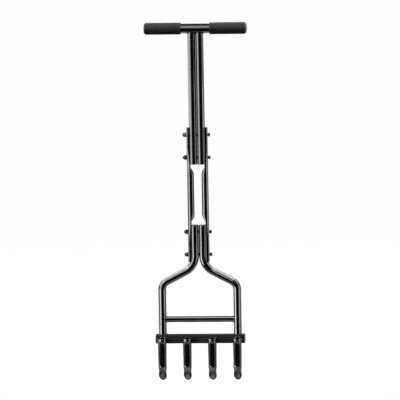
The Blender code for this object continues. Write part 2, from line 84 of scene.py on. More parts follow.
TINE_RADIUS = extent("tine_1").x / 2
TINE_TOP_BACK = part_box("tine_1")[1].z

# Sizes that the solids don't give: walls, bends, pressed ends, cuts, plugs and fasteners
FIT_GAP = 0.0003
TUBE_WALL = 0.0015
LEG_TOP_LENGTH = 0.079
LEG_FOOT_LENGTH = 0.1164
LEG_BEND_ANGLE = math.radians(62.6)
UPPER_BEND_RADIUS = 0.0465
LOWER_BEND_RADIUS = 0.024
CONNECTOR_WALL = 0.0013
PRESSED_SLIT = 0.0004
CHANNEL_FOLD_RADIUS = 0.0004
CHANNEL_FLAT_AT_MOUTH = 0.0006
SQUARED_LENGTH = 0.048
CHANNEL_LENGTH = 0.0965
PRESS_RUNOUT = 0.028
PRESS_RUNOUT_EASE = 0.6
TINE_WALL = 0.0018
TINE_TOP_SLANT = math.radians(8)
TINE_END_RADIUS = 0.0105
TINE_TIP_CUT_HEIGHT = 0.0288
TINE_WINDOW_WIDTH = 0.0138
TINE_WINDOW_BOTTOM = 0.038
TINE_WINDOW_LENGTH = 0.060
TINE_WINDOW_CORNER = 0.005
TINE_DRAW_IN_TOP = 0.0358
TINE_DRAW_IN_LENGTH = 0.007
FOOT_BAR_CORNER = 0.0015
FOOT_BAR_BORE_CORNER = 0.0008
HANDLEBAR_PLUG_DEPTH = 0.014
TUBE_PLUG_DEPTH = 0.009
FOOT_BAR_PLUG_DEPTH = 0.012
PLUG_WALL = 0.0015
BOLT_RADIUS = 0.003
BOLT_THREAD_PITCH = 0.001
BOLT_THREAD_DEPTH = 0.0004
BOLT_THREAD_TURNS = 10
BOLT_COLLAR_RADIUS = 0.0039
BOLT_COLLAR_HEIGHT = 0.002
BOLT_HEAD_HEIGHT = 0.0044
BOLT_HEAD_SIDE_HEIGHT = 0.0016
BOLT_DOME_ANGLE = math.radians(62)
BOLT_SOCKET_SIZE = 0.004
BOLT_SOCKET_DEPTH = 0.0025
BOLT_SOCKET_POINT = 0.0007
CAP_NUT_BORE_RADIUS = 0.0033
CAP_NUT_HEX_SHARE = 0.53
CAP_NUT_SEED = 3
BOLT_SEED = 7
NUT_CHAMFER_ANGLE = math.radians(30)

# Sizes worked out from these: the lips and corners of the pressed wall, and the bolt's whole head
LIP_RADIUS = CONNECTOR_WALL + PRESSED_SLIT / 2
LIP_REACH = CONNECTOR_RADIUS - LIP_RADIUS
CHANNEL_ANGLE = math.acos(LIP_RADIUS / LIP_REACH)
LIP_Y = LIP_REACH * math.sin(CHANNEL_ANGLE)
SQUARED_CORNER = CHANNEL_FOLD_RADIUS + 2 * LIP_RADIUS
MOUTH_CORNER = CONNECTOR_RADIUS - CHANNEL_FLAT_AT_MOUTH
BOLT_CROWN_HEIGHT = BOLT_COLLAR_HEIGHT + BOLT_HEAD_HEIGHT

# Fine detail of the visual model
ROUND_SIDES = 72
BEND_STEPS = 20
RIM_RADIUS = 0.0004
RIM_STEPS = 3
RIM_MIDDLE = 0.3
RIM_HOLD = 0.001
CHANNEL_STEPS = 10
ROUNDING_STEPS = 16
RUNOUT_STEPS = 20
SQUARE_CORNER_STEPS = 10
WINDOW_CORNER_STEPS = 8
DRAW_IN_STEPS = 6
PLUG_EDGE_STEPS = 6
NUT_DOME_STEPS = 12
BOLT_DOME_STEPS = 7
GRIP_EDGE_RADIUS = 0.0016
GRIP_EDGE_STEPS = 5
FOAM_CELL_SIZE = 0.0009
FOAM_CELL_DEPTH = 0.00012
FOAM_RING_SPACING = 0.002
FOAM_UNEVENNESS = 0.00012
FOAM_SWELLS_PER_METRE = 90
FOAM_LUMPS_PER_METRE = 400
FOAM_LUMP_SHARE = 0.2
FOAM_SWELL_SHARE = 0.66
CUT_EDGE_WIDTH = 0.0003
SQUARE_END_EDGE_WIDTH = 0.0002
WELD_RADIUS = 0.0017
SMALL_WELD_RADIUS = WELD_RADIUS * 0.8
WELD_SIDES = 14
WELD_CORNER_STEPS = 6
WELD_RIPPLE_PITCH = 0.0016
WELD_RIPPLE_DEPTH = 0.00022
WELD_POINTS_PER_RIPPLE = 6
LEG_WELD_HALF_DEGREES = 62
TINE_WELD_REACH = 0.0058
TINE_WELD_CORNER = 0.004
TINE_WELD_BEFORE_BAR = 0.0009
TINE_WELD_ABOVE_UNDERSIDE = 0.0015
TINE_WELD_ABOVE_TINE = 0.0006
SMOOTH_ANGLE = math.radians(35)

# Framing: a long lens from the right and from above, with the top of the tool leaning left
PIXELS = 400
PIXEL_SIZE = 0.00259
CAMERA_DISTANCE = 20
CAMERA_AIM_HEIGHT = 0.4679
CAMERA_AIM_LEFT = 1.88
CAMERA_AIM_DOWN = 0.14
CAMERA_AZIMUTH = math.radians(5.7)
CAMERA_PITCH = math.radians(6)
CAMERA_ROLL = math.radians(1)
SENSOR_WIDTH = 36

# Studio: a white sheet lies under the tool and far behind it, and ends a little in front of it
SHEET_FRONT = 0.3
SHEET_REACH = 30
SHEET_DROP = 0.0005
SHEET_GLOW = 0.97
ROOM_STRENGTH = 0.04
STRIP_DISTANCE = 1.2
STRIP_BOTTOM = -0.45
STRIP_TOP = 1.45
SLOPE_X = 0.05
WATTS_PER_RADIANCE = math.pi


# Shader node groups

def new_group(name, inputs, outputs):
    group = bpy.data.node_groups.new(name, "ShaderNodeTree")
    for socket_name, default in inputs:
        socket = group.interface.new_socket(socket_name, in_out="INPUT", socket_type="NodeSocketFloat")
        socket.default_value = default
    for socket_name in outputs:
        group.interface.new_socket(socket_name, in_out="OUTPUT", socket_type="NodeSocketFloat")
    start = group.nodes.new("NodeGroupInput")
    end = group.nodes.new("NodeGroupOutput")
    return group, start, end


def math_node(tree, operation, first, second=None):
    node = tree.nodes.new("ShaderNodeMath")
    node.operation = operation
    for socket, value in zip(node.inputs, (first, second)):
        if value is None:
            continue
        if isinstance(value, (int, float)):
            socket.default_value = value
        else:
            tree.links.new(value, socket)
    return node.outputs[0]


def make_grain_group():
    # Soft cloudy variation between two values, with spots of a given size
    group, start, end = new_group(
        "surface_grain", (("Size", 0.001), ("Low", 0.0), ("High", 1.0), ("Detail", 3.0)), ("Value",))
    place = group.nodes.new("ShaderNodeTexCoord")
    spots = group.nodes.new("ShaderNodeTexNoise")
    spread = group.nodes.new("ShaderNodeMapRange")
    group.links.new(place.outputs["Object"], spots.inputs["Vector"])
    group.links.new(math_node(group, "DIVIDE", 1.0, start.outputs["Size"]), spots.inputs["Scale"])
    group.links.new(start.outputs["Detail"], spots.inputs["Detail"])
    group.links.new(spots.outputs["Fac"], spread.inputs["Value"])
    spread.inputs["From Min"].default_value = 0.3
    spread.inputs["From Max"].default_value = 0.7
    group.links.new(start.outputs["Low"], spread.inputs["To Min"])
    group.links.new(start.outputs["High"], spread.inputs["To Max"])
    group.links.new(spread.outputs["Result"], end.inputs["Value"])
    return group


def make_scuff_group():
    # Thin hairline rubs that run round and along a tube
    group, start, end = new_group("hairline_scuffs", (("Size", 0.01), ("Amount", 0.3)), ("Mask",))
    place = group.nodes.new("ShaderNodeTexCoord")
    stretch = group.nodes.new("ShaderNodeMapping")
    stretch.inputs["Scale"].default_value = (1.0, 1.0, 0.12)
    stretch.inputs["Rotation"].default_value = (0.2, 0.35, 0.1)
    lines = group.nodes.new("ShaderNodeTexNoise")
    lines.inputs["Detail"].default_value = 6.0
    lines.inputs["Roughness"].default_value = 0.7
    narrow = group.nodes.new("ShaderNodeMapRange")
    group.links.new(place.outputs["Object"], stretch.inputs["Vector"])
    group.links.new(stretch.outputs["Vector"], lines.inputs["Vector"])
    group.links.new(math_node(group, "DIVIDE", 1.0, start.outputs["Size"]), lines.inputs["Scale"])
    group.links.new(lines.outputs["Fac"], narrow.inputs["Value"])
    narrow.inputs["From Min"].default_value = 0.60
    narrow.inputs["From Max"].default_value = 0.72
    group.links.new(start.outputs["Amount"], narrow.inputs["To Max"])
    group.links.new(narrow.outputs["Result"], end.inputs["Mask"])
    return group


def make_dust_group():
    # Fine dust that settles where a surface faces up
    group, start, end = new_group("settled_dust", (("Size", 0.004), ("Amount", 0.1)), ("Mask",))
    shape = group.nodes.new("ShaderNodeNewGeometry")
    parts = group.nodes.new("ShaderNodeSeparateXYZ")
    place = group.nodes.new("ShaderNodeTexCoord")
    specks = group.nodes.new("ShaderNodeTexNoise")
    specks.inputs["Detail"].default_value = 8.0
    group.links.new(shape.outputs["Normal"], parts.inputs["Vector"])
    group.links.new(place.outputs["Object"], specks.inputs["Vector"])
    group.links.new(math_node(group, "DIVIDE", 1.0, start.outputs["Size"]), specks.inputs["Scale"])
    facing = math_node(group, "MAXIMUM", parts.outputs["Z"], 0.0)
    cloud = math_node(group, "MULTIPLY", facing, specks.outputs["Fac"])
    group.links.new(math_node(group, "MULTIPLY", cloud, start.outputs["Amount"]), end.inputs["Mask"])
    return group


GRAIN = make_grain_group()
SCUFFS = make_scuff_group()
DUST = make_dust_group()


# Materials

DUST_COLOR = (0.12, 0.118, 0.115)


def new_material(name):
    material = bpy.data.materials.new(name)
    material.use_nodes = True
    return material, material.node_tree, material.node_tree.nodes["Principled BSDF"]


def use_group(tree, group, **values):
    node = tree.nodes.new("ShaderNodeGroup")
    node.node_tree = group
    for socket_name, value in values.items():
        node.inputs[socket_name].default_value = value
    return node.outputs[0]


def blend_color(tree, mask, first, second):
    node = tree.nodes.new("ShaderNodeMix")
    node.data_type = "RGBA"
    node.inputs["A"].default_value = (*first, 1)
    node.inputs["B"].default_value = (*second, 1)
    tree.links.new(mask, node.inputs["Factor"])
    return node.outputs["Result"]


def add_bump(tree, shader, height, distance, strength=1.0):
    bump = tree.nodes.new("ShaderNodeBump")
    bump.inputs["Strength"].default_value = strength
    bump.inputs["Distance"].default_value = distance
    tree.links.new(height, bump.inputs["Height"])
    tree.links.new(bump.outputs["Normal"], shader.inputs["Normal"])


def make_paint(name, color, roughness, peel_size, peel_depth, specular=0.5, ior=1.6):
    # Black powder coat: orange peel, cloudy gloss, hairline rubs and a trace of dust. roughness is the
    # lowest and the highest value.
    material, tree, shader = new_material(name)
    shader.inputs["Specular IOR Level"].default_value = specular
    shader.inputs["IOR"].default_value = ior
    low, high = roughness
    dust = use_group(tree, DUST, Size=0.005, Amount=0.10)
    tone = math_node(tree, "ADD", dust, use_group(tree, GRAIN, Size=0.03, Low=0.0, High=0.02, Detail=2.0))
    tree.links.new(blend_color(tree, tone, color, DUST_COLOR), shader.inputs["Base Color"])
    gloss = use_group(tree, GRAIN, Size=0.012, Low=low, High=high, Detail=3.0)
    rubs = use_group(tree, SCUFFS, Size=0.006, Amount=0.10)
    tree.links.new(math_node(tree, "ADD", gloss, rubs), shader.inputs["Roughness"])
    peel = use_group(tree, GRAIN, Size=peel_size, Low=0.0, High=1.0, Detail=1.0)
    add_bump(tree, shader, peel, peel_depth)
    return material


def make_foam():
    # Closed-cell foam: small pits all over and a dull skin with slightly rubbed patches
    material, tree, shader = new_material("grip_foam")
    shader.inputs["IOR"].default_value = 1.1
    patches = use_group(tree, GRAIN, Size=0.008, Low=0.0, High=1.0, Detail=4.0)
    color = blend_color(tree, patches, (0.090, 0.090, 0.092), (0.104, 0.104, 0.106))
    tree.links.new(color, shader.inputs["Base Color"])
    tree.links.new(use_group(tree, GRAIN, Size=0.003, Low=0.78, High=0.95), shader.inputs["Roughness"])
    place = tree.nodes.new("ShaderNodeTexCoord")
    cells = tree.nodes.new("ShaderNodeTexVoronoi")
    cells.inputs["Scale"].default_value = 1 / FOAM_CELL_SIZE
    tree.links.new(place.outputs["Object"], cells.inputs["Vector"])
    add_bump(tree, shader, cells.outputs["Distance"], FOAM_CELL_DEPTH, 0.6)
    return material


def make_plastic():
    # Moulded plastic with a fine grain
    material, tree, shader = new_material("plug_plastic")
    tone = use_group(tree, GRAIN, Size=0.002, Low=0.0, High=1.0, Detail=2.0)
    color = blend_color(tree, tone, (0.009, 0.009, 0.009), (0.014, 0.014, 0.014))
    tree.links.new(color, shader.inputs["Base Color"])
    tree.links.new(use_group(tree, GRAIN, Size=0.004, Low=0.36, High=0.52), shader.inputs["Roughness"])
    add_bump(tree, shader, use_group(tree, GRAIN, Size=0.0004, Low=0.0, High=1.0), 0.00004)
    return material


def make_black_steel():
    # Blackened steel of nuts and bolts, a little brighter where the finish is thin
    material, tree, shader = new_material("blackened_steel")
    thin = use_group(tree, GRAIN, Size=0.003, Low=0.0, High=1.0, Detail=5.0)
    color = blend_color(tree, thin, (0.007, 0.007, 0.008), (0.015, 0.015, 0.016))
    tree.links.new(color, shader.inputs["Base Color"])
    shader.inputs["Metallic"].default_value = 0.1
    shader.inputs["Specular IOR Level"].default_value = 0.2
    tree.links.new(use_group(tree, GRAIN, Size=0.0012, Low=0.17, High=0.28), shader.inputs["Roughness"])
    add_bump(tree, shader, use_group(tree, GRAIN, Size=0.0007, Low=0.0, High=1.0), 0.00003)
    return material


GLOSS = make_paint(
    "gloss_black_paint",
    color=(0.0020, 0.0020, 0.0022),
    roughness=(0.07, 0.13),
    peel_size=0.0016,
    peel_depth=0.000004,
)
TINE_PAINT = make_paint(
    "tine_black_paint",
    color=(0.0110, 0.0110, 0.0115),
    roughness=(0.10, 0.17),
    peel_size=0.0012,
    peel_depth=0.000006,
)
SATIN = make_paint(
    "satin_black_paint",
    color=(0.0085, 0.0085, 0.0088),
    roughness=(0.55, 0.70),
    peel_size=0.0009,
    peel_depth=0.00002,
    specular=0.12,
    ior=1.5,
)
FOAM = make_foam()
PLASTIC = make_plastic()
STEEL = make_black_steel()


# Mesh tools

def ease(share):
    # From 0 to 1 with a level start and end
    return share * share * (3 - 2 * share)


def circle(radius, height):
    angles = [math.tau * i / ROUND_SIDES for i in range(ROUND_SIDES)]
    return [(radius * math.cos(a), radius * math.sin(a), height) for a in angles]


def soften(corners, radius=RIM_RADIUS, steps=RIM_STEPS):
    # Rounds each corner of a closed outline of (radius, height) points. On a long side one more point
    # by the corner keeps the shading of the side straight up to the corner.
    points = []
    for i, corner in enumerate(corners):
        here = Vector(corner)
        to_before = Vector(corners[i - 1]) - here
        to_after = Vector(corners[(i + 1) % len(corners)]) - here
        before = to_before.normalized()
        after = to_after.normalized()
        if to_before.length > 4 * (radius + RIM_HOLD):
            points.append(here + before * (radius + RIM_HOLD))
        for step in range(steps + 1):
            share = step / steps
            points.append(here + (before * (1 - share) ** 2 + after * share ** 2) * radius)
        if to_after.length > 4 * (radius + RIM_HOLD):
            points.append(here + after * (radius + RIM_HOLD))
    return points


def bridge(mesh, near, far):
    # Faces between two loops of points, of which one may be a single point
    count = max(len(near), len(far))
    for i in range(count):
        j = (i + 1) % count
        corners = [near[i % len(near)], near[j % len(near)], far[j % len(far)], far[i % len(far)]]
        mesh.faces.new(list(dict.fromkeys(corners)))


def loft(name, loops, material, wrap=False, place=Matrix()):
    # A skin over loops of points in turn, which wrap joins from the last loop back to the first
    mesh = bmesh.new()
    rows = [[mesh.verts.new(point) for point in loop] for loop in loops]
    for near, far in zip(rows, rows[1:]):
        bridge(mesh, near, far)
    if wrap:
        bridge(mesh, rows[-1], rows[0])
    mesh.transform(place)
    bmesh.ops.recalc_face_normals(mesh, faces=mesh.faces)
    data = bpy.data.meshes.new(name)
    mesh.to_mesh(data)
    mesh.free()
    return shaded(link_piece(name, data), material)


def link_piece(name, data):
    piece = bpy.data.objects.new(name, data)
    bpy.context.scene.collection.objects.link(piece)
    return piece


def shaded(piece, material):
    piece.data.shade_smooth()
    piece.data.set_sharp_from_angle(angle=SMOOTH_ANGLE)
    piece.data.materials.clear()
    piece.data.materials.append(material)
    return piece


def apply_modifiers(piece):
    graph = bpy.context.evaluated_depsgraph_get()
    data = bpy.data.meshes.new_from_object(piece.evaluated_get(graph))
    piece.modifiers.clear()
    piece.data = data
    return piece


def cut_away(piece, tool):
    modifier = piece.modifiers.new("cut", "BOOLEAN")
    modifier.operation = "DIFFERENCE"
    modifier.solver = "EXACT"
    modifier.object = tool
    apply_modifiers(piece)
    bpy.data.objects.remove(tool)
    return piece


def soften_edges(piece, width, angle=math.radians(50)):
    modifier = piece.modifiers.new("soft_edges", "BEVEL")
    modifier.width = width
    modifier.segments = 2
    modifier.limit_method = "ANGLE"
    modifier.angle_limit = angle
    return apply_modifiers(piece)


def lathe(name, profile, material, place=Matrix(), wrap=True):
    # Turns (radius, height) points round the local Z
    loops = []
    for radius, height in profile:
        loops.append(circle(radius, height) if radius > 0 else [(0, 0, height)])
    return loft(name, loops, material, wrap, place)


def wall_outline(outer, wall, bottom, top):
    # The section of a round tube's wall, with rounded rims
    return soften([(outer, bottom), (outer, top), (outer - wall, top), (outer - wall, bottom)])


def along_x(x, y, z, sign=1):
    # Lays a piece's local Z along X, towards the side that sign says
    return Matrix.Translation((x, y, z)) @ Matrix.Rotation(sign * math.pi / 2, 4, "Y")


def reshape(piece, move):
    for vertex in piece.data.vertices:
        vertex.co = move(vertex.co)
    piece.data.update()
    return piece


def stands_for(piece, slot, *nodes):
    # The piece is shown in place of these nodes of the solids
    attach(piece, "root")
    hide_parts(*nodes)


# Handle

def make_handlebar():
    half = HANDLEBAR_LENGTH / 2
    profile = wall_outline(HANDLEBAR_RADIUS, TUBE_WALL, -half, half)
    tube = lathe("handle_tube", profile, GLOSS, along_x(*HANDLE))
    stands_for(tube, "gloss_paint", "handlebar")


def make_grip(side, sign):
    # Closely spaced rings carry the slight unevenness of real foam
    inner = HANDLEBAR_RADIUS + FIT_GAP
    outer = GRIP_RADIUS - FOAM_UNEVENNESS
    start = HANDLEBAR_LENGTH / 2 - GRIP_LENGTH
    end = HANDLEBAR_LENGTH / 2
    corners = [(inner, start), (outer, start), (outer, end), (inner, end)]
    softened = soften(corners, GRIP_EDGE_RADIUS, GRIP_EDGE_STEPS)
    first_side = [point for point in softened if point.y < (start + end) / 2]
    last_side = [point for point in softened if point.y >= (start + end) / 2]
    rings = int(GRIP_LENGTH / FOAM_RING_SPACING)
    ringed_length = GRIP_LENGTH - 2 * GRIP_EDGE_RADIUS
    body = []
    for ring in range(1, rings):
        body.append((outer, start + GRIP_EDGE_RADIUS + ringed_length * ring / rings))
    piece = lathe("foam_grip_" + side, first_side + body + last_side, FOAM, along_x(*HANDLE, sign))

    def uneven(point):
        spoke = Vector((0, point.y - HANDLE.y, point.z - HANDLE.z))
        if spoke.length < inner + FIT_GAP:
            return point
        swell = noise.noise(point * FOAM_SWELLS_PER_METRE)
        swell += FOAM_LUMP_SHARE * noise.noise(point * FOAM_LUMPS_PER_METRE)
        return point + spoke.normalized() * swell * FOAM_UNEVENNESS * FOAM_SWELL_SHARE

    reshape(piece, uneven)
    stands_for(piece, "foam", "grip_" + side)


def make_handlebar_plug(side, sign):
    # A hollow stem in the tube, and a flange with a rounded edge and a shallow dish in its face
    stem = HANDLEBAR_RADIUS - TUBE_WALL - FIT_GAP
    hollow = stem - PLUG_WALL
    depth = HANDLEBAR_PLUG_DEPTH
    flange = extent("handlebar_plug_" + side).x - depth
    side_height = flange * 0.66
    rim = HANDLEBAR_RADIUS
    rounding = 0.0016
    dish = 0.0006
    profile = [(0, 0), (hollow, 0), (hollow, -depth), (stem, -depth), (stem, FIT_GAP)]
    profile += [(rim, FIT_GAP), (rim, side_height)]
    for step in range(1, PLUG_EDGE_STEPS + 1):
        angle = math.pi / 2 * step / PLUG_EDGE_STEPS
        drop = (flange - side_height) * (1 - math.sin(angle))
        profile.append((rim - rounding * (1 - math.cos(angle)), flange - drop))
    profile += [(rim * 0.80, flange), (rim * 0.77, flange - dish), (rim * 0.3, flange - dish * 0.7)]
    profile.append((0, flange - dish * 0.6))
    end = along_x(sign * HANDLEBAR_LENGTH / 2, HANDLE.y, HANDLE.z, sign)
    plug = lathe("end_plug_" + side, profile, PLASTIC, end, wrap=False)
    stands_for(plug, "plastic", "handlebar_plug_" + side)


# Shaft

def make_upper_tube(side, sign):
    # The top is coped to the round underside of the handlebar
    x = sign * TUBE_X
    profile = wall_outline(TUBE_RADIUS, TUBE_WALL, UPPER_TUBE_BOTTOM, HANDLE.z)
    place = Matrix.Translation((x, SHAFT_Y, 0))
    tube = lathe("shaft_tube_" + side, profile, GLOSS, place)
    reach = HANDLEBAR_RADIUS + FIT_GAP

    def cope(point):
        if point.z < UPPER_TUBE_BOTTOM + TUBE_RADIUS:
            return point
        return point - Vector((0, 0, math.sqrt(reach ** 2 - (point.y - SHAFT_Y) ** 2)))

    reshape(tube, cope)
    stands_for(tube, "gloss_paint", "upper_tube_" + side)


def make_tube_plug(node, x, height, direction):
    # A low black cap with a ring groove, pushed into the end of a shaft tube
    stem = TUBE_RADIUS - TUBE_WALL - FIT_GAP
    hollow = stem - PLUG_WALL
    depth = TUBE_PLUG_DEPTH
    flange = extent(node).z - depth
    rim = TUBE_RADIUS
    edge = 0.0002
    rounding = 0.0006
    groove = 0.0004
    profile = [(0, 0), (hollow, 0), (hollow, -depth), (stem, -depth), (stem, FIT_GAP)]
    profile += [(rim - edge, FIT_GAP), (rim, FIT_GAP + edge), (rim, flange - rounding)]
    profile += [(rim - edge, flange - edge), (rim - rounding, flange), (rim * 0.7, flange)]
    profile += [(rim * 0.67, flange - groove), (rim * 0.6, flange - groove), (rim * 0.57, flange)]
    profile.append((0, flange))
    turn = Matrix.Rotation(0 if direction > 0 else math.pi, 4, "X")
    place = Matrix.Translation((x, SHAFT_Y, height)) @ turn
    plug = lathe("cap_" + node, profile, PLASTIC, place, wrap=False)
    stands_for(plug, "plastic", node)


def leg_stations():
    # Distance from the tool's middle, height and tilt along the right leg, from the top down
    lower = LEG_BOTTOM + LEG_FOOT_LENGTH
    upper = LEG_TOP - LEG_TOP_LENGTH
    stations = [(TUBE_X, LEG_TOP, 0)]
    for step in range(BEND_STEPS + 1):
        tilt = LEG_BEND_ANGLE * step / BEND_STEPS
        x = TUBE_X + UPPER_BEND_RADIUS * (1 - math.cos(tilt))
        stations.append((x, upper - UPPER_BEND_RADIUS * math.sin(tilt), tilt))
    for step in range(BEND_STEPS + 1):
        tilt = LEG_BEND_ANGLE * (1 - step / BEND_STEPS)
        x = LEG_SPREAD - LOWER_BEND_RADIUS * (1 - math.cos(tilt))
        stations.append((x, lower + LOWER_BEND_RADIUS * math.sin(tilt), tilt))
    stations.append((LEG_SPREAD, LEG_BOTTOM, 0))
    return stations


def leg_loop(station, radius, sign, lift=0):
    # A ring square to the leg at a station, raised by lift
    x, height, tilt = station
    points = []
    for across, depth, _ in circle(radius, 0):
        outward = x + across * math.cos(tilt)
        points.append((sign * outward, SHAFT_Y + depth, height + lift + across * math.sin(tilt)))
    return points


def make_leg(side, sign):
    # The top has a rounded rim, and the foot is cut square for its weld
    stations = leg_stations()
    first = stations[0]
    last = stations[-1]
    inner = TUBE_RADIUS - TUBE_WALL
    rim_middle = RIM_RADIUS * RIM_MIDDLE
    held = RIM_RADIUS + RIM_HOLD
    loops = [
        leg_loop(first, TUBE_RADIUS - RIM_RADIUS, sign),
        leg_loop(first, TUBE_RADIUS - rim_middle, sign, -rim_middle),
        leg_loop(first, TUBE_RADIUS, sign, -RIM_RADIUS),
        leg_loop(first, TUBE_RADIUS, sign, -held),
    ]
    loops += [leg_loop(station, TUBE_RADIUS, sign) for station in stations[1:-1]]
    loops += [leg_loop(last, TUBE_RADIUS, sign, RIM_HOLD), leg_loop(last, TUBE_RADIUS, sign)]
    loops += [leg_loop(last, inner, sign), leg_loop(last, inner, sign, RIM_HOLD)]
    loops += [leg_loop(station, inner, sign) for station in reversed(stations[1:-1])]
    loops += [leg_loop(first, inner, sign, -held), leg_loop(first, inner, sign, -RIM_RADIUS)]
    loops.append(leg_loop(first, inner + RIM_RADIUS, sign))
    leg = loft("fork_leg_" + side, loops, GLOSS, wrap=True)
    stands_for(leg, "gloss_paint", "leg_" + side)


def leg_envelope(sign):
    # The room that a leg and its clearance need, which is cut out of the splice tube
    stations = leg_stations()
    first = [(sign * TUBE_X, SHAFT_Y, LEG_TOP)]
    last = [(sign * LEG_SPREAD, SHAFT_Y, LEG_BOTTOM)]
    radius = TUBE_RADIUS + FIT_GAP
    loops = [first] + [leg_loop(station, radius, sign) for station in stations] + [last]
    return loft("leg_envelope", loops, GLOSS)


def channel_side(corner):
    # Half the middle line of a pressed end's wall, x pointing away from the shaft: from the middle of
    # the outer side round a corner to the lip, then along the inner wall to the middle of the hollow
    lean_x = math.cos(CHANNEL_ANGLE)
    lean_y = math.sin(CHANNEL_ANGLE)
    centre_x = CONNECTOR_RADIUS - corner
    flat = (centre_x - LIP_RADIUS + (corner - LIP_RADIUS) * lean_x) / lean_y
    centre_y = LIP_Y - flat * lean_x - (corner - LIP_RADIUS) * lean_y
    outer = corner - CONNECTOR_WALL / 2
    inner = corner - 2 * LIP_RADIUS + CONNECTOR_WALL / 2
    lip = LIP_RADIUS - CONNECTOR_WALL / 2
    bends = [CHANNEL_ANGLE * step / CHANNEL_STEPS for step in range(CHANNEL_STEPS + 1)]
    points = [(centre_x + outer, 0)]
    points += [(centre_x + outer * math.cos(a), centre_y + outer * math.sin(a)) for a in bends]
    for step in range(CHANNEL_STEPS + 1):
        angle = CHANNEL_ANGLE + math.pi * step / CHANNEL_STEPS
        points.append((LIP_RADIUS + lip * math.cos(angle), LIP_Y + lip * math.sin(angle)))
    points += [(centre_x + inner * math.cos(a), centre_y + inner * math.sin(a)) for a in reversed(bends)]
    points.append((centre_x + inner, 0))
    return points


def wall_line(corner, press):
    # The wall's whole middle line: press 1 is the channel, press 0 the round tube, round which the
    # channel's points are spread by length
    side = channel_side(corner)
    lengths = [0]
    for near, far in zip(side, side[1:]):
        lengths.append(lengths[-1] + math.dist(near, far))
    to_lip = lengths[CHANNEL_STEPS + 2]
    past_lip = lengths[-1] - to_lip
    radius = CONNECTOR_RADIUS - CONNECTOR_WALL / 2
    line = []
    for length, (x, y) in zip(lengths, side):
        if length < to_lip:
            angle = CHANNEL_ANGLE * length / to_lip
        else:
            angle = CHANNEL_ANGLE + (math.pi - CHANNEL_ANGLE) * (length - to_lip) / past_lip
        round_x = radius * math.cos(angle)
        round_y = radius * math.sin(angle)
        line.append((round_x + press * (x - round_x), round_y + press * (y - round_y)))
    return line + [(x, -y) for x, y in reversed(line[1:-1])]


def connector_loop(station, outward):
    # One face of the wall: the middle line moved outward, or inward where outward is negative
    corner, press, height = station
    line = wall_line(corner, press)
    points = []
    for i, (x, y) in enumerate(line):
        before = line[i - 1]
        after = line[(i + 1) % len(line)]
        to_here = math.dist(before, line[i])
        to_next = math.dist(line[i], after)
        run_x = (x - before[0]) / to_here + (after[0] - x) / to_next
        run_y = (y - before[1]) / to_here + (after[1] - y) / to_next
        size = math.hypot(run_x, run_y)
        points.append((x + outward * run_y / size, y - outward * run_x / size, height))
    return points


def connector_stations():
    # Corner radius, press and height along a connector, from the bottom up
    length = CONNECTOR_TOP - CONNECTOR_BOTTOM
    stations = [(SQUARED_CORNER, 1, 0), (SQUARED_CORNER, 1, RIM_HOLD)]
    for step in range(ROUNDING_STEPS + 1):
        share = step / ROUNDING_STEPS
        corner = SQUARED_CORNER + (MOUTH_CORNER - SQUARED_CORNER) * ease(share)
        stations.append((corner, 1, SQUARED_LENGTH + (CHANNEL_LENGTH - SQUARED_LENGTH) * share))
    for step in range(1, RUNOUT_STEPS + 1):
        share = step / RUNOUT_STEPS
        press = 1 - ease(share ** PRESS_RUNOUT_EASE)
        stations.append((MOUTH_CORNER, press, CHANNEL_LENGTH + PRESS_RUNOUT * share))
    return stations + [(corner, press, length - height) for corner, press, height in reversed(stations)]


def make_connector(side, sign):
    # A round tube whose ends are pressed to channels, cut to clear the leg where it bends away
    stations = connector_stations()
    outside = [connector_loop(station, CONNECTOR_WALL / 2) for station in stations]
    inside = [connector_loop(station, -CONNECTOR_WALL / 2) for station in reversed(stations)]
    turn = Matrix.Rotation(0 if sign > 0 else math.pi, 4, "Z")
    place = Matrix.Translation((sign * CONNECTOR_X, SHAFT_Y, CONNECTOR_BOTTOM)) @ turn
    connector = loft("splice_tube_" + side, outside + inside, GLOSS, True, place)
    cut_away(connector, leg_envelope(sign))
    soften_edges(connector, CUT_EDGE_WIDTH, math.radians(60))
    shaded(connector, GLOSS)
    stands_for(connector, "gloss_paint", "connector_" + side)


# Geometry node trees

def new_geometry_tree(name, inputs):
    tree = bpy.data.node_groups.new(name, "GeometryNodeTree")
    tree.interface.new_socket("Geometry", in_out="INPUT", socket_type="NodeSocketGeometry")
    for socket_name, kind in inputs:
        tree.interface.new_socket(socket_name, in_out="INPUT", socket_type=kind)
    tree.interface.new_socket("Geometry", in_out="OUTPUT", socket_type="NodeSocketGeometry")
    return tree, tree.nodes.new("NodeGroupInput"), tree.nodes.new("NodeGroupOutput")


def run_tree(piece, tree, **values):
    # Sets the inputs by their sockets' identifiers and keeps the result as a plain mesh
    modifier = piece.modifiers.new(tree.name, "NODES")
    modifier.node_group = tree
    for item in tree.interface.items_tree:
        if item.in_out == "INPUT" and item.name in values:
            modifier[item.identifier] = values[item.name]
    return apply_modifiers(piece)


# Fasteners

def hexagon_radius(across_flats, angle):
    # Distance from a hexagon's middle to its outline at an angle
    off_flat = (angle + math.pi / 6) % (math.pi / 3) - math.pi / 6
    return across_flats / 2 / math.cos(off_flat)


def hexagon(across_flats, height, chamfer_slope=0):
    # A hexagonal ring of as many points as circle(), whose corners are moved up by the chamfer's slope
    points = []
    for i in range(ROUND_SIDES):
        angle = math.tau * i / ROUND_SIDES
        radius = hexagon_radius(across_flats, angle)
        lift = (radius - across_flats / 2) * chamfer_slope
        points.append((radius * math.cos(angle), radius * math.sin(angle), height + lift))
    return points


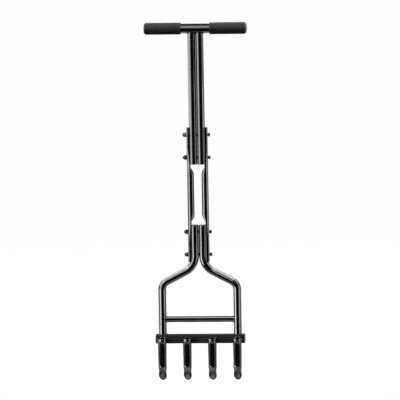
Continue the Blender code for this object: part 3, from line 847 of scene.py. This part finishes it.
def make_cap_nut_shape():
    # Local z = 0 is the seat. The hexagon's corners are turned down at both ends at the chamfer angle.
    size = extent("cap_nut_upper_1")
    across = size.z
    flat = across / 2
    height = size.x
    hex_height = height * CAP_NUT_HEX_SHARE
    bore = CAP_NUT_BORE_RADIUS
    slope = math.tan(NUT_CHAMFER_ANGLE)
    edge = 0.0002
    lead_in = 0.0004
    dome = flat * 0.93
    dome_base = hex_height + 0.0005
    loops = [
        [(0, 0, height * 0.75)],
        circle(bore, height * 0.7),
        circle(bore, lead_in),
        circle(bore + lead_in, 0),
        circle(flat * 0.94, 0),
        hexagon(across, edge, slope),
        hexagon(across, hex_height - edge, -slope),
        circle(flat * 0.96, hex_height),
        circle(dome, hex_height + edge),
    ]
    for step in range(NUT_DOME_STEPS):
        angle = math.pi / 2 * step / NUT_DOME_STEPS
        rise = (height - dome_base) * math.sin(angle)
        loops.append(circle(dome * math.cos(angle), dome_base + rise))
    loops.append([(0, 0, height)])
    return loft("cap_nut_shape", loops, STEEL)


def make_bolt_shape():
    # Local z = 0 is under the collar, the shank points down and the domed head up
    size = extent("bolt_upper_1")
    shank = BOLT_RADIUS
    collar = BOLT_COLLAR_RADIUS
    head = size.z / 2
    crown = BOLT_CROWN_HEIGHT
    tip = size.x - crown
    tip_chamfer = 0.0006
    head_edge = 0.0003
    edge = 0.0002
    loops = [[(0, 0, -tip)], circle(shank - tip_chamfer, -tip), circle(shank, -tip + tip_chamfer)]
    for turn in range(1, BOLT_THREAD_TURNS + 1):
        crest = -tip + tip_chamfer + BOLT_THREAD_PITCH * turn
        loops.append(circle(shank - BOLT_THREAD_DEPTH, crest - BOLT_THREAD_PITCH / 2))
        loops.append(circle(shank, crest))
    loops += [circle(shank, 0), circle(collar - edge, 0), circle(collar, edge)]
    loops += [circle(collar, BOLT_COLLAR_HEIGHT), circle(head - head_edge, BOLT_COLLAR_HEIGHT)]
    loops.append(circle(head, BOLT_COLLAR_HEIGHT + head_edge))
    side_top = BOLT_COLLAR_HEIGHT + BOLT_HEAD_SIDE_HEIGHT
    for step in range(BOLT_DOME_STEPS + 1):
        angle = BOLT_DOME_ANGLE * step / BOLT_DOME_STEPS
        rise = math.sin(angle) / math.sin(BOLT_DOME_ANGLE)
        loops.append(circle(head * math.cos(angle), side_top + (crown - side_top) * rise))
    loops.append(hexagon(BOLT_SOCKET_SIZE + edge, crown))
    loops.append(hexagon(BOLT_SOCKET_SIZE, crown - edge))
    loops.append(hexagon(BOLT_SOCKET_SIZE, crown - BOLT_SOCKET_DEPTH))
    loops.append([(0, 0, crown - BOLT_SOCKET_DEPTH - BOLT_SOCKET_POINT)])
    return loft("bolt_shape", loops, STEEL)


def find_socket(sockets, name, kind):
    # A random value node has sockets of one name for each kind of value
    for socket in sockets:
        if socket.name == name and socket.type == kind:
            return socket
    raise KeyError(name)


def make_fastener_tree():
    # A column of fasteners, each one turned by a random share of a hexagon's side
    tree, start, end = new_geometry_tree("fastener_column", (
        ("Fastener", "NodeSocketObject"),
        ("Count", "NodeSocketInt"),
        ("Spacing", "NodeSocketFloat"),
        ("Seat", "NodeSocketVector"),
        ("Facing", "NodeSocketFloat"),
        ("Seed", "NodeSocketInt"),
        ("Material", "NodeSocketMaterial"),
    ))
    step = tree.nodes.new("ShaderNodeCombineXYZ")
    column = tree.nodes.new("GeometryNodeMeshLine")
    shape = tree.nodes.new("GeometryNodeObjectInfo")
    turn = tree.nodes.new("FunctionNodeRandomValue")
    turn.data_type = "FLOAT"
    find_socket(turn.inputs, "Max", "VALUE").default_value = math.radians(60)
    random_angle = find_socket(turn.outputs, "Value", "VALUE")
    angles = tree.nodes.new("ShaderNodeCombineXYZ")
    rotation = tree.nodes.new("FunctionNodeEulerToRotation")
    lay_down = tree.nodes.new("ShaderNodeCombineXYZ")
    tilt = tree.nodes.new("FunctionNodeEulerToRotation")
    both = tree.nodes.new("FunctionNodeRotateRotation")
    both.rotation_space = "LOCAL"
    place = tree.nodes.new("GeometryNodeInstanceOnPoints")
    real = tree.nodes.new("GeometryNodeRealizeInstances")
    finish = tree.nodes.new("GeometryNodeSetMaterial")
    link = tree.links.new
    link(start.outputs["Spacing"], step.inputs["Z"])
    link(start.outputs["Count"], column.inputs["Count"])
    link(start.outputs["Seat"], column.inputs["Start Location"])
    link(step.outputs["Vector"], column.inputs["Offset"])
    link(start.outputs["Fastener"], shape.inputs["Object"])
    link(start.outputs["Seed"], turn.inputs["Seed"])
    link(random_angle, angles.inputs["Z"])
    link(angles.outputs["Vector"], rotation.inputs["Euler"])
    link(start.outputs["Facing"], lay_down.inputs["Y"])
    link(lay_down.outputs["Vector"], tilt.inputs["Euler"])
    link(tilt.outputs["Rotation"], both.inputs["Rotation"])
    link(rotation.outputs["Rotation"], both.inputs["Rotate By"])
    link(column.outputs["Mesh"], place.inputs["Points"])
    link(shape.outputs["Geometry"], place.inputs["Instance"])
    link(both.outputs["Rotation"], place.inputs["Rotation"])
    link(place.outputs["Instances"], real.inputs["Geometry"])
    link(real.outputs["Geometry"], finish.inputs["Geometry"])
    link(start.outputs["Material"], finish.inputs["Material"])
    link(finish.outputs["Geometry"], end.inputs["Geometry"])
    return tree


def make_fastener_column(name, tree, shape, nodes, facing, seat_from_right, seed):
    # seat_from_right is how far the shape's local z = 0 is from the right end of the nodes' boxes
    top = middle(nodes[0])
    carrier = link_piece(name, bpy.data.meshes.new(name))
    run_tree(
        carrier,
        tree,
        Fastener=shape,
        Count=len(nodes),
        Spacing=middle(nodes[1]).z - top.z,
        Seat=(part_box(nodes[0])[1].x - seat_from_right, SHAFT_Y, top.z),
        Facing=facing * math.pi / 2,
        Seed=seed,
        Material=STEEL,
    )
    shaded(carrier, STEEL)
    stands_for(carrier, "fastener", *nodes)


def make_fasteners():
    # The nuts face left and the bolts right, in one column above and one below the shaft's opening
    tree = make_fastener_tree()
    nut = make_cap_nut_shape()
    bolt = make_bolt_shape()
    crown = BOLT_CROWN_HEIGHT
    for number, joint in enumerate(("upper", "lower")):
        nuts = ["cap_nut_%s_%d" % (joint, place) for place in (1, 2)]
        bolts = ["bolt_%s_%d" % (joint, place) for place in (1, 2)]
        make_fastener_column("dome_nuts_" + joint, tree, nut, nuts, -1, 0, CAP_NUT_SEED + number)
        make_fastener_column("through_bolts_" + joint, tree, bolt, bolts, 1, crown, BOLT_SEED + number)
    bpy.data.objects.remove(nut)
    bpy.data.objects.remove(bolt)


# Foot frame

def make_crossbar():
    # Both ends are coped to the round legs
    half = LEG_SPREAD
    profile = wall_outline(CROSSBAR_RADIUS, TUBE_WALL, -half, half)
    bar = lathe("fork_crossbar", profile, GLOSS, along_x(*CROSSBAR))
    reach = TUBE_RADIUS + FIT_GAP

    def cope(point):
        inward = math.sqrt(reach ** 2 - (point.y - SHAFT_Y) ** 2)
        return point - Vector((math.copysign(inward, point.x), 0, 0))

    reshape(bar, cope)
    stands_for(bar, "gloss_paint", "crossbar")


def rounded_rectangle(width, length, corner, steps):
    points = []
    for quarter, (right, up) in enumerate(((1, 1), (-1, 1), (-1, -1), (1, -1))):
        for step in range(steps + 1):
            angle = math.pi / 2 * (quarter + step / steps)
            x = right * (width / 2 - corner) + corner * math.cos(angle)
            points.append((x, up * (length / 2 - corner) + corner * math.sin(angle)))
    return points


def rounded_square(size, corner, height):
    return [(x, y, height) for x, y in rounded_rectangle(size, size, corner, SQUARE_CORNER_STEPS)]


def make_foot_bar():
    half = FOOT_BAR_LENGTH / 2
    bore = FOOT_BAR_SIZE - 2 * TUBE_WALL
    outside = (-half, -half + RIM_HOLD, half - RIM_HOLD, half)
    loops = [rounded_square(FOOT_BAR_SIZE, FOOT_BAR_CORNER, height) for height in outside]
    loops += [rounded_square(bore, FOOT_BAR_BORE_CORNER, height) for height in (half, -half)]
    bar = loft("square_foot_bar", loops, SATIN, True, along_x(*FOOT_BAR))
    soften_edges(bar, SQUARE_END_EDGE_WIDTH)
    shaded(bar, SATIN)
    stands_for(bar, "satin_paint", "foot_bar")


def make_foot_bar_plug(side, sign):
    # A hollow square stem in the bar, and a square face with rounded edges and a shallow dish
    size = FOOT_BAR_SIZE
    stem = size - 2 * TUBE_WALL - 2 * FIT_GAP
    hollow = stem - 2 * PLUG_WALL
    depth = FOOT_BAR_PLUG_DEPTH
    face = extent("foot_bar_plug_" + side).x - depth
    inner_corner = 0.0014
    edge = 0.0002
    rounding = 0.0008
    dish = 0.0004
    loops = [
        [(0, 0, 0)],
        rounded_square(hollow, FOOT_BAR_BORE_CORNER, 0),
        rounded_square(hollow, FOOT_BAR_BORE_CORNER, -depth),
        rounded_square(stem, FOOT_BAR_BORE_CORNER, -depth),
        rounded_square(stem, FOOT_BAR_BORE_CORNER, FIT_GAP),
        rounded_square(size - 2 * edge, inner_corner, FIT_GAP),
        rounded_square(size, FOOT_BAR_CORNER, FIT_GAP + edge),
        rounded_square(size, FOOT_BAR_CORNER, face - rounding),
        rounded_square(size - 0.0005, FOOT_BAR_CORNER, face - 0.00025),
        rounded_square(size - 2 * rounding, inner_corner, face),
        rounded_square(size * 0.72, inner_corner, face),
        rounded_square(size * 0.69, inner_corner, face - dish),
        [(0, 0, face - dish)],
    ]
    place = along_x(sign * FOOT_BAR_LENGTH / 2, FOOT_BAR.y, FOOT_BAR.z, sign)
    plug = loft("foot_bar_cap_" + side, loops, PLASTIC, False, place)
    stands_for(plug, "plastic", "foot_bar_plug_" + side)


# Tines

def window_cutter(x):
    # A slot with rounded corners, from the middle of the tine out through the front of its wall
    middle_height = TINE_WINDOW_BOTTOM + TINE_WINDOW_LENGTH / 2
    front = TINE_Y - TINE_RADIUS * 2
    outline = rounded_rectangle(
        TINE_WINDOW_WIDTH, TINE_WINDOW_LENGTH, TINE_WINDOW_CORNER, WINDOW_CORNER_STEPS)
    loops = [[(x, TINE_Y, middle_height)]]
    for y in (TINE_Y, front):
        loops.append([(x + across, y, middle_height + up) for across, up in outline])
    loops.append([(x, front, middle_height)])
    return loft("window_cut", loops, SATIN)


def tine_section(top):
    # The section of a tine's wall, from the rim at its top down to the drawn-in end and up inside
    rim = RIM_RADIUS
    cut = rim * RIM_MIDDLE
    end = TINE_END_RADIUS
    bore_top = TINE_RADIUS - TINE_WALL
    bore_end = end - TINE_WALL
    side = [(TINE_RADIUS, top - rim - RIM_HOLD)]
    for step in range(DRAW_IN_STEPS + 1):
        share = step / DRAW_IN_STEPS
        radius = TINE_RADIUS - (TINE_RADIUS - end) * ease(share)
        side.append((radius, TINE_DRAW_IN_TOP - TINE_DRAW_IN_LENGTH * share))
    side.append((end, rim + RIM_HOLD))
    section = [(TINE_RADIUS - rim, top), (TINE_RADIUS - cut, top - cut), (TINE_RADIUS, top - rim)]
    section += side
    section += [(end, rim), (end - cut, cut), (end - rim, 0)]
    section += [(bore_end + rim, 0), (bore_end + cut, cut), (bore_end, rim)]
    section += [(radius - TINE_WALL, height) for radius, height in reversed(side)]
    return section + [(bore_top, top - rim), (bore_top + rim, top)]


def make_tine(node):
    # Turned as a straight tube first, then both ends are slanted and the window is cut
    x = middle(node).x
    top_slope = math.tan(TINE_TOP_SLANT)
    tip_slope = TINE_TIP_CUT_HEIGHT / (2 * TINE_END_RADIUS)
    top = TINE_TOP_BACK - TINE_RADIUS * top_slope
    draw_in_bottom = TINE_DRAW_IN_TOP - TINE_DRAW_IN_LENGTH
    place = Matrix.Translation((x, TINE_Y, 0))
    tine = lathe("coring_" + node, tine_section(top), TINE_PAINT, place)

    def slant(point):
        depth = point.y - TINE_Y
        if point.z > top - TINE_RADIUS:
            return point + Vector((0, 0, depth * top_slope))
        if point.z < draw_in_bottom / 2:
            cut = TINE_TIP_CUT_HEIGHT / 2 - tip_slope * depth
            return Vector((point.x, point.y, cut + point.z))
        return point

    reshape(tine, slant)
    cut_away(tine, window_cutter(x))
    soften_edges(tine, CUT_EDGE_WIDTH, math.radians(55))
    shaded(tine, TINE_PAINT)
    stands_for(tine, "satin_paint", node)


# Welds

def make_weld_tree():
    # A bead along a path, with the ripples that each pass of the arc leaves behind
    tree, start, end = new_geometry_tree("rippled_weld", (
        ("Bead Radius", "NodeSocketFloat"),
        ("Ripple Pitch", "NodeSocketFloat"),
        ("Ripple Depth", "NodeSocketFloat"),
        ("Corner Radius", "NodeSocketFloat"),
        ("Material", "NodeSocketMaterial"),
    ))
    path = tree.nodes.new("GeometryNodeMeshToCurve")
    corners = tree.nodes.new("GeometryNodeFilletCurve")
    corners.mode = "POLY"
    corners.inputs["Count"].default_value = WELD_CORNER_STEPS
    corners.inputs["Limit Radius"].default_value = True
    points = tree.nodes.new("GeometryNodeResampleCurve")
    points.mode = "LENGTH"
    place = tree.nodes.new("GeometryNodeSplineParameter")
    profile = tree.nodes.new("GeometryNodeCurvePrimitiveCircle")
    profile.inputs["Resolution"].default_value = WELD_SIDES
    bead = tree.nodes.new("GeometryNodeCurveToMesh")
    bead.inputs["Fill Caps"].default_value = True
    smooth = tree.nodes.new("GeometryNodeSetShadeSmooth")
    real = tree.nodes.new("GeometryNodeRealizeInstances")
    finish = tree.nodes.new("GeometryNodeSetMaterial")
    link = tree.links.new
    link(start.outputs["Geometry"], path.inputs["Mesh"])
    link(path.outputs["Curve"], corners.inputs["Curve"])
    link(start.outputs["Corner Radius"], corners.inputs["Radius"])
    link(corners.outputs["Curve"], points.inputs["Curve"])
    spacing = math_node(tree, "DIVIDE", start.outputs["Ripple Pitch"], WELD_POINTS_PER_RIPPLE)
    link(spacing, points.inputs["Length"])
    turns = math_node(tree, "DIVIDE", place.outputs["Length"], start.outputs["Ripple Pitch"])
    wave = math_node(tree, "ABSOLUTE", math_node(tree, "SINE", math_node(tree, "MULTIPLY", turns, math.pi)))
    depth = math_node(tree, "DIVIDE", start.outputs["Ripple Depth"], start.outputs["Bead Radius"])
    swell = math_node(tree, "MULTIPLY", math_node(tree, "SUBTRACT", wave, 1.0), depth)
    link(start.outputs["Bead Radius"], profile.inputs["Radius"])
    link(points.outputs["Curve"], bead.inputs["Curve"])
    link(profile.outputs["Curve"], bead.inputs["Profile Curve"])
    link(math_node(tree, "ADD", swell, 1.0), bead.inputs["Scale"])
    link(bead.outputs["Mesh"], smooth.inputs["Geometry"])
    link(smooth.outputs["Geometry"], real.inputs["Geometry"])
    link(real.outputs["Geometry"], finish.inputs["Geometry"])
    link(start.outputs["Material"], finish.inputs["Material"])
    link(finish.outputs["Geometry"], end.inputs["Geometry"])
    return tree


def path_mesh(name, paths):
    # paths is a list of (points, closed)
    mesh = bmesh.new()
    for points, closed in paths:
        corners = [mesh.verts.new(point) for point in points]
        pairs = list(zip(corners, corners[1:]))
        if closed:
            pairs.append((corners[-1], corners[0]))
        for pair in pairs:
            mesh.edges.new(pair)
    data = bpy.data.meshes.new(name)
    mesh.to_mesh(data)
    mesh.free()
    return link_piece(name, data)


def handle_weld_paths():
    # Round each shaft tube where it meets the underside of the handlebar
    steps = 48
    paths = []
    for sign in (-1, 1):
        points = []
        for step in range(steps):
            angle = math.tau * step / steps
            y = TUBE_RADIUS * math.sin(angle)
            height = HANDLE.z - math.sqrt(HANDLEBAR_RADIUS ** 2 - y * y)
            points.append((sign * TUBE_X + TUBE_RADIUS * math.cos(angle), SHAFT_Y + y, height))
        paths.append((points, True))
    return paths


def leg_foot_weld_paths():
    # The legs are nearly as wide as the foot bar, so the bead is on their left and right sides only
    steps = 24
    paths = []
    for sign in (-1, 1):
        for first in (-LEG_WELD_HALF_DEGREES, 180 - LEG_WELD_HALF_DEGREES):
            points = []
            for step in range(steps + 1):
                angle = math.radians(first + 2 * LEG_WELD_HALF_DEGREES * step / steps)
                x = sign * LEG_SPREAD + TUBE_RADIUS * math.cos(angle)
                points.append((x, SHAFT_Y + TUBE_RADIUS * math.sin(angle), FOOT_BAR_TOP))
            paths.append((points, False))
    return paths


def crossbar_weld_paths():
    # Round both ends of the crossbar where it meets the legs
    steps = 40
    paths = []
    for sign in (-1, 1):
        points = []
        for step in range(steps):
            angle = math.tau * step / steps
            y = CROSSBAR_RADIUS * math.sin(angle)
            x = sign * (LEG_SPREAD - math.sqrt(TUBE_RADIUS ** 2 - y * y))
            points.append((x, SHAFT_Y + y, CROSSBAR.z + CROSSBAR_RADIUS * math.cos(angle)))
        paths.append((points, True))
    return paths


def tine_weld_paths():
    # Up one side of the tine, over its back and down the other side, in the groove by the bar
    paths = []
    reach = TINE_WELD_REACH
    y = FOOT_BAR_FRONT - TINE_WELD_BEFORE_BAR
    foot = FOOT_BAR_BOTTOM + TINE_WELD_ABOVE_UNDERSIDE
    crest = TINE_TOP_BACK + TINE_WELD_ABOVE_TINE
    for node in TINES:
        x = middle(node).x
        points = [(x - reach, y, foot), (x - reach, y, crest), (x + reach, y, crest), (x + reach, y, foot)]
        paths.append((points, False))
    return paths


def make_welds():
    tree = make_weld_tree()
    groups = (
        ("weld_handle", handle_weld_paths(), WELD_RADIUS, 0.0),
        ("weld_leg_feet", leg_foot_weld_paths(), SMALL_WELD_RADIUS, 0.0),
        ("weld_crossbar", crossbar_weld_paths(), SMALL_WELD_RADIUS, 0.0),
        ("weld_tines", tine_weld_paths(), WELD_RADIUS, TINE_WELD_CORNER),
    )
    for name, paths, radius, corner in groups:
        bead = path_mesh(name, paths)
        values = {
            "Bead Radius": radius,
            "Ripple Pitch": WELD_RIPPLE_PITCH,
            "Ripple Depth": WELD_RIPPLE_DEPTH,
            "Corner Radius": corner,
            "Material": SATIN,
        }
        run_tree(bead, tree, **values)
        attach(bead, "root")


# Studio

def ray_share(tree, *names):
    # 1 for the named kinds of ray and 0 for all others
    path = tree.nodes.new("ShaderNodeLightPath")
    share = path.outputs[names[0]]
    for name in names[1:]:
        share = math_node(tree, "MAXIMUM", share, path.outputs[name])
    return share


def mix_shaders(tree, factor, first, second):
    mix = tree.nodes.new("ShaderNodeMixShader")
    tree.links.new(factor, mix.inputs["Fac"])
    tree.links.new(first, mix.inputs[1])
    tree.links.new(second, mix.inputs[2])
    return mix.outputs["Shader"]


def make_floor():
    # White wherever the sheet is seen, with the tool's shadow, and dim as a source of light
    material = bpy.data.materials.new("pale_floor")
    material.use_nodes = True
    tree = material.node_tree
    tree.nodes.clear()
    output = tree.nodes.new("ShaderNodeOutputMaterial")
    paper = tree.nodes.new("ShaderNodeBsdfDiffuse")
    paper.inputs["Color"].default_value = (0.4, 0.4, 0.4, 1)
    dim = tree.nodes.new("ShaderNodeBsdfDiffuse")
    dim.inputs["Color"].default_value = (0.1, 0.1, 0.1, 1)
    glow = tree.nodes.new("ShaderNodeEmission")
    glow.inputs["Strength"].default_value = SHEET_GLOW
    white = tree.nodes.new("ShaderNodeAddShader")
    tree.links.new(paper.outputs[0], white.inputs[0])
    tree.links.new(glow.outputs[0], white.inputs[1])
    seen = ray_share(tree, "Is Camera Ray", "Is Glossy Ray", "Is Transmission Ray")
    surface = mix_shaders(tree, seen, dim.outputs[0], white.outputs[0])
    tree.links.new(surface, output.inputs["Surface"])
    mesh = bmesh.new()
    corners = ((-1, -SHEET_FRONT), (1, -SHEET_FRONT), (1, SHEET_REACH), (-1, SHEET_REACH))
    mesh.faces.new([mesh.verts.new((side * SHEET_REACH, depth, -SHEET_DROP)) for side, depth in corners])
    data = bpy.data.meshes.new("studio_floor")
    mesh.to_mesh(data)
    mesh.free()
    floor = link_piece("studio_floor", data)
    floor.data.materials.append(material)


def make_world():
    # White behind the tool, and a dim room for the light that reaches it and for gloss that faces front
    world = bpy.data.worlds.new("studio")
    bpy.context.scene.world = world
    world.use_nodes = True
    tree = world.node_tree
    tree.nodes.clear()
    output = tree.nodes.new("ShaderNodeOutputWorld")
    room = tree.nodes.new("ShaderNodeBackground")
    room.inputs["Color"].default_value = (0.9, 0.95, 1, 1)
    room.inputs["Strength"].default_value = ROOM_STRENGTH
    white = tree.nodes.new("ShaderNodeBackground")
    white.inputs["Color"].default_value = (1, 1, 1, 1)
    place = tree.nodes.new("ShaderNodeTexCoord")
    parts = tree.nodes.new("ShaderNodeSeparateXYZ")
    sweep = tree.nodes.new("ShaderNodeMapRange")
    sweep.inputs["From Min"].default_value = 0.55
    sweep.inputs["From Max"].default_value = 0.95
    tree.links.new(place.outputs["Generated"], parts.inputs["Vector"])
    tree.links.new(parts.outputs["Y"], sweep.inputs["Value"])
    behind = math_node(tree, "MULTIPLY", ray_share(tree, "Is Glossy Ray"), sweep.outputs["Result"])
    shown = math_node(tree, "MAXIMUM", ray_share(tree, "Is Camera Ray", "Is Transmission Ray"), behind)
    surface = mix_shaders(tree, shown, room.outputs[0], white.outputs[0])
    tree.links.new(surface, output.inputs["Surface"])


def add_softbox(name, location, target, width, height, radiance, in_diffuse=True, in_gloss=True):
    # radiance is what a mirror would show; the power follows from the size
    lamp = bpy.data.lights.new(name, "AREA")
    lamp.shape = "RECTANGLE"
    lamp.size = width
    lamp.size_y = height
    lamp.energy = radiance * WATTS_PER_RADIANCE * width * height
    light = bpy.data.objects.new(name, lamp)
    light.location = location
    aim = Vector(target) - Vector(location)
    light.rotation_euler = aim.to_track_quat("-Z", "Y").to_euler()
    light.visible_camera = False
    light.visible_diffuse = in_diffuse
    light.visible_glossy = in_gloss
    bpy.context.scene.collection.objects.link(light)
    return lamp


def add_side_strip(name, side, front, back, bottom, top, radiance):
    # An upright softbox beside the tool, from y = front to y = back, seen only in gloss
    location = (side * STRIP_DISTANCE, (front + back) / 2, (bottom + top) / 2)
    target = (0, location[1], location[2])
    add_softbox(name, location, target, back - front, top - bottom, radiance, in_diffuse=False)


def add_slope_box(name, side, direction, distance, width, height, radiance, spread=math.pi):
    # A softbox that the sloping part of one leg reflects, seen only in gloss
    slope = Vector((side * SLOPE_X, SHAFT_Y, LEG_BOTTOM + LEG_FOOT_LENGTH))
    place = slope + Vector(direction).normalized() * distance
    lamp = add_softbox(name, place, slope, width, height, radiance, in_diffuse=False)
    lamp.spread = spread


def make_strips():
    # These draw the bright lines of the upright tubes, whose width and strength change with the height.
    # Each line gives the side, the front, back, bottom and top edges, and the radiance.
    left_low = 0.15
    left_high = 0.42
    right_low = 0.20
    right_high = 0.66
    right_bend = 0.82
    add_side_strip("left_strip_top", -1, -1.95, 0.45, left_high, STRIP_TOP, 6.5)
    add_side_strip("left_strip_middle", -1, -1.90, -0.34, left_low, left_high, 8.0)
    add_side_strip("left_strip_foot", -1, -1.70, -0.34, STRIP_BOTTOM, left_low, 12.0)
    add_side_strip("right_strip_top", 1, -0.66, 0.60, right_high, right_bend, 1.3)
    add_side_strip("right_strip_bend", 1, -0.66, 0.60, right_bend, STRIP_TOP, 6.0)
    add_side_strip("right_strip_middle", 1, -0.60, 0.10, right_low, right_high, 5.5)
    add_side_strip("right_strip_foot", 1, -0.95, -0.15, STRIP_BOTTOM, right_low, 5.5)


def make_slope_boxes():
    # Two for the back and the front of each sloping leg, and a narrow one for the right leg's line. Each
    # line gives the side, the direction and distance from the slope, the size and the radiance.
    add_slope_box("left_slope_back", -1, (-0.573, 0.22, 0.79), 1.5, 1.2, 0.9, 10.0)
    add_slope_box("left_slope_front", -1, (-0.46, -0.66, 0.60), 2.5, 1.4, 1.4, 4.8)
    add_slope_box("right_slope_back", 1, (0.418, 0.25, 0.88), 1.5, 1.1, 0.9, 10.0)
    add_slope_box("right_slope_front", 1, (0.40, -0.42, 0.81), 2.5, 0.8, 0.8, 5.5)
    add_slope_box("right_slope_line", 1, (0.06, -0.94, 0.33), 3.0, 0.6, 0.32, 0.5, math.radians(20))


def make_level_boxes():
    # Boxes above the handle and the crossbar show on their tops, and boxes on the floor on undersides.
    # The key is the one lamp that lights dull surfaces, and gloss doesn't show it. Each line gives the
    # place, the target, the size and the radiance.
    handle = (0, SHAFT_Y, HANDLE.z)
    add_softbox("top_gloss", (0, -0.52, 1.415), handle, 1.8, 0.8, 3.8, in_diffuse=False)
    add_softbox("crossbar_gloss", (0, -0.20, 0.80), (0, -0.20, 0), 0.5, 0.36, 5.0, in_diffuse=False)
    add_softbox("floor_gloss_back", (0, 0.22, 0.002), (0, 0.22, 1), 0.8, 0.36, 1.2, in_diffuse=False)
    add_softbox("floor_gloss_front", (0, -0.055, 0.002), (0, -0.055, 1), 0.17, 0.07, 1.2, in_diffuse=False)
    add_softbox("top_key", (0, -0.25, 2.05), handle, 1.6, 1.0, 2.6, in_gloss=False)


def make_lights():
    make_strips()
    make_slope_boxes()
    make_level_boxes()


def make_camera():
    # The lens length makes one pixel PIXEL_SIZE wide at the tool
    camera = bpy.data.objects.new("camera", bpy.data.cameras.new("camera"))
    scene = bpy.context.scene
    scene.collection.objects.link(camera)
    camera.data.sensor_width = SENSOR_WIDTH
    camera.data.lens = CAMERA_DISTANCE / PIXEL_SIZE / PIXELS * SENSOR_WIDTH
    level_right = Vector((math.cos(CAMERA_AZIMUTH), math.sin(CAMERA_AZIMUTH), 0))
    level_back = Vector((math.sin(CAMERA_AZIMUTH), -math.cos(CAMERA_AZIMUTH), 0))
    back = level_back * math.cos(CAMERA_PITCH) + Vector((0, 0, math.sin(CAMERA_PITCH)))
    level_up = back.cross(level_right)
    right = level_right * math.cos(CAMERA_ROLL) - level_up * math.sin(CAMERA_ROLL)
    up = level_right * math.sin(CAMERA_ROLL) + level_up * math.cos(CAMERA_ROLL)
    aim = Vector((0, SHAFT_Y, CAMERA_AIM_HEIGHT))
    aim += (right * CAMERA_AIM_LEFT + up * CAMERA_AIM_DOWN) * PIXEL_SIZE
    camera.location = aim + back * CAMERA_DISTANCE
    camera.rotation_euler = Matrix((right, up, back)).transposed().to_euler()
    scene.camera = camera
    scene.view_settings.view_transform = "Standard"


def make_object():
    make_handlebar()
    for side, sign in (("left", -1), ("right", 1)):
        make_grip(side, sign)
        make_handlebar_plug(side, sign)
        make_upper_tube(side, sign)
        make_tube_plug("upper_tube_plug_" + side, sign * TUBE_X, UPPER_TUBE_BOTTOM, -1)
        make_tube_plug("leg_plug_" + side, sign * TUBE_X, LEG_TOP, 1)
        make_leg(side, sign)
        make_connector(side, sign)
        make_foot_bar_plug(side, sign)
    make_fasteners()
    make_crossbar()
    make_foot_bar()
    for node in TINES:
        make_tine(node)
    make_welds()


make_object()
make_floor()
make_world()
make_lights()
make_camera()
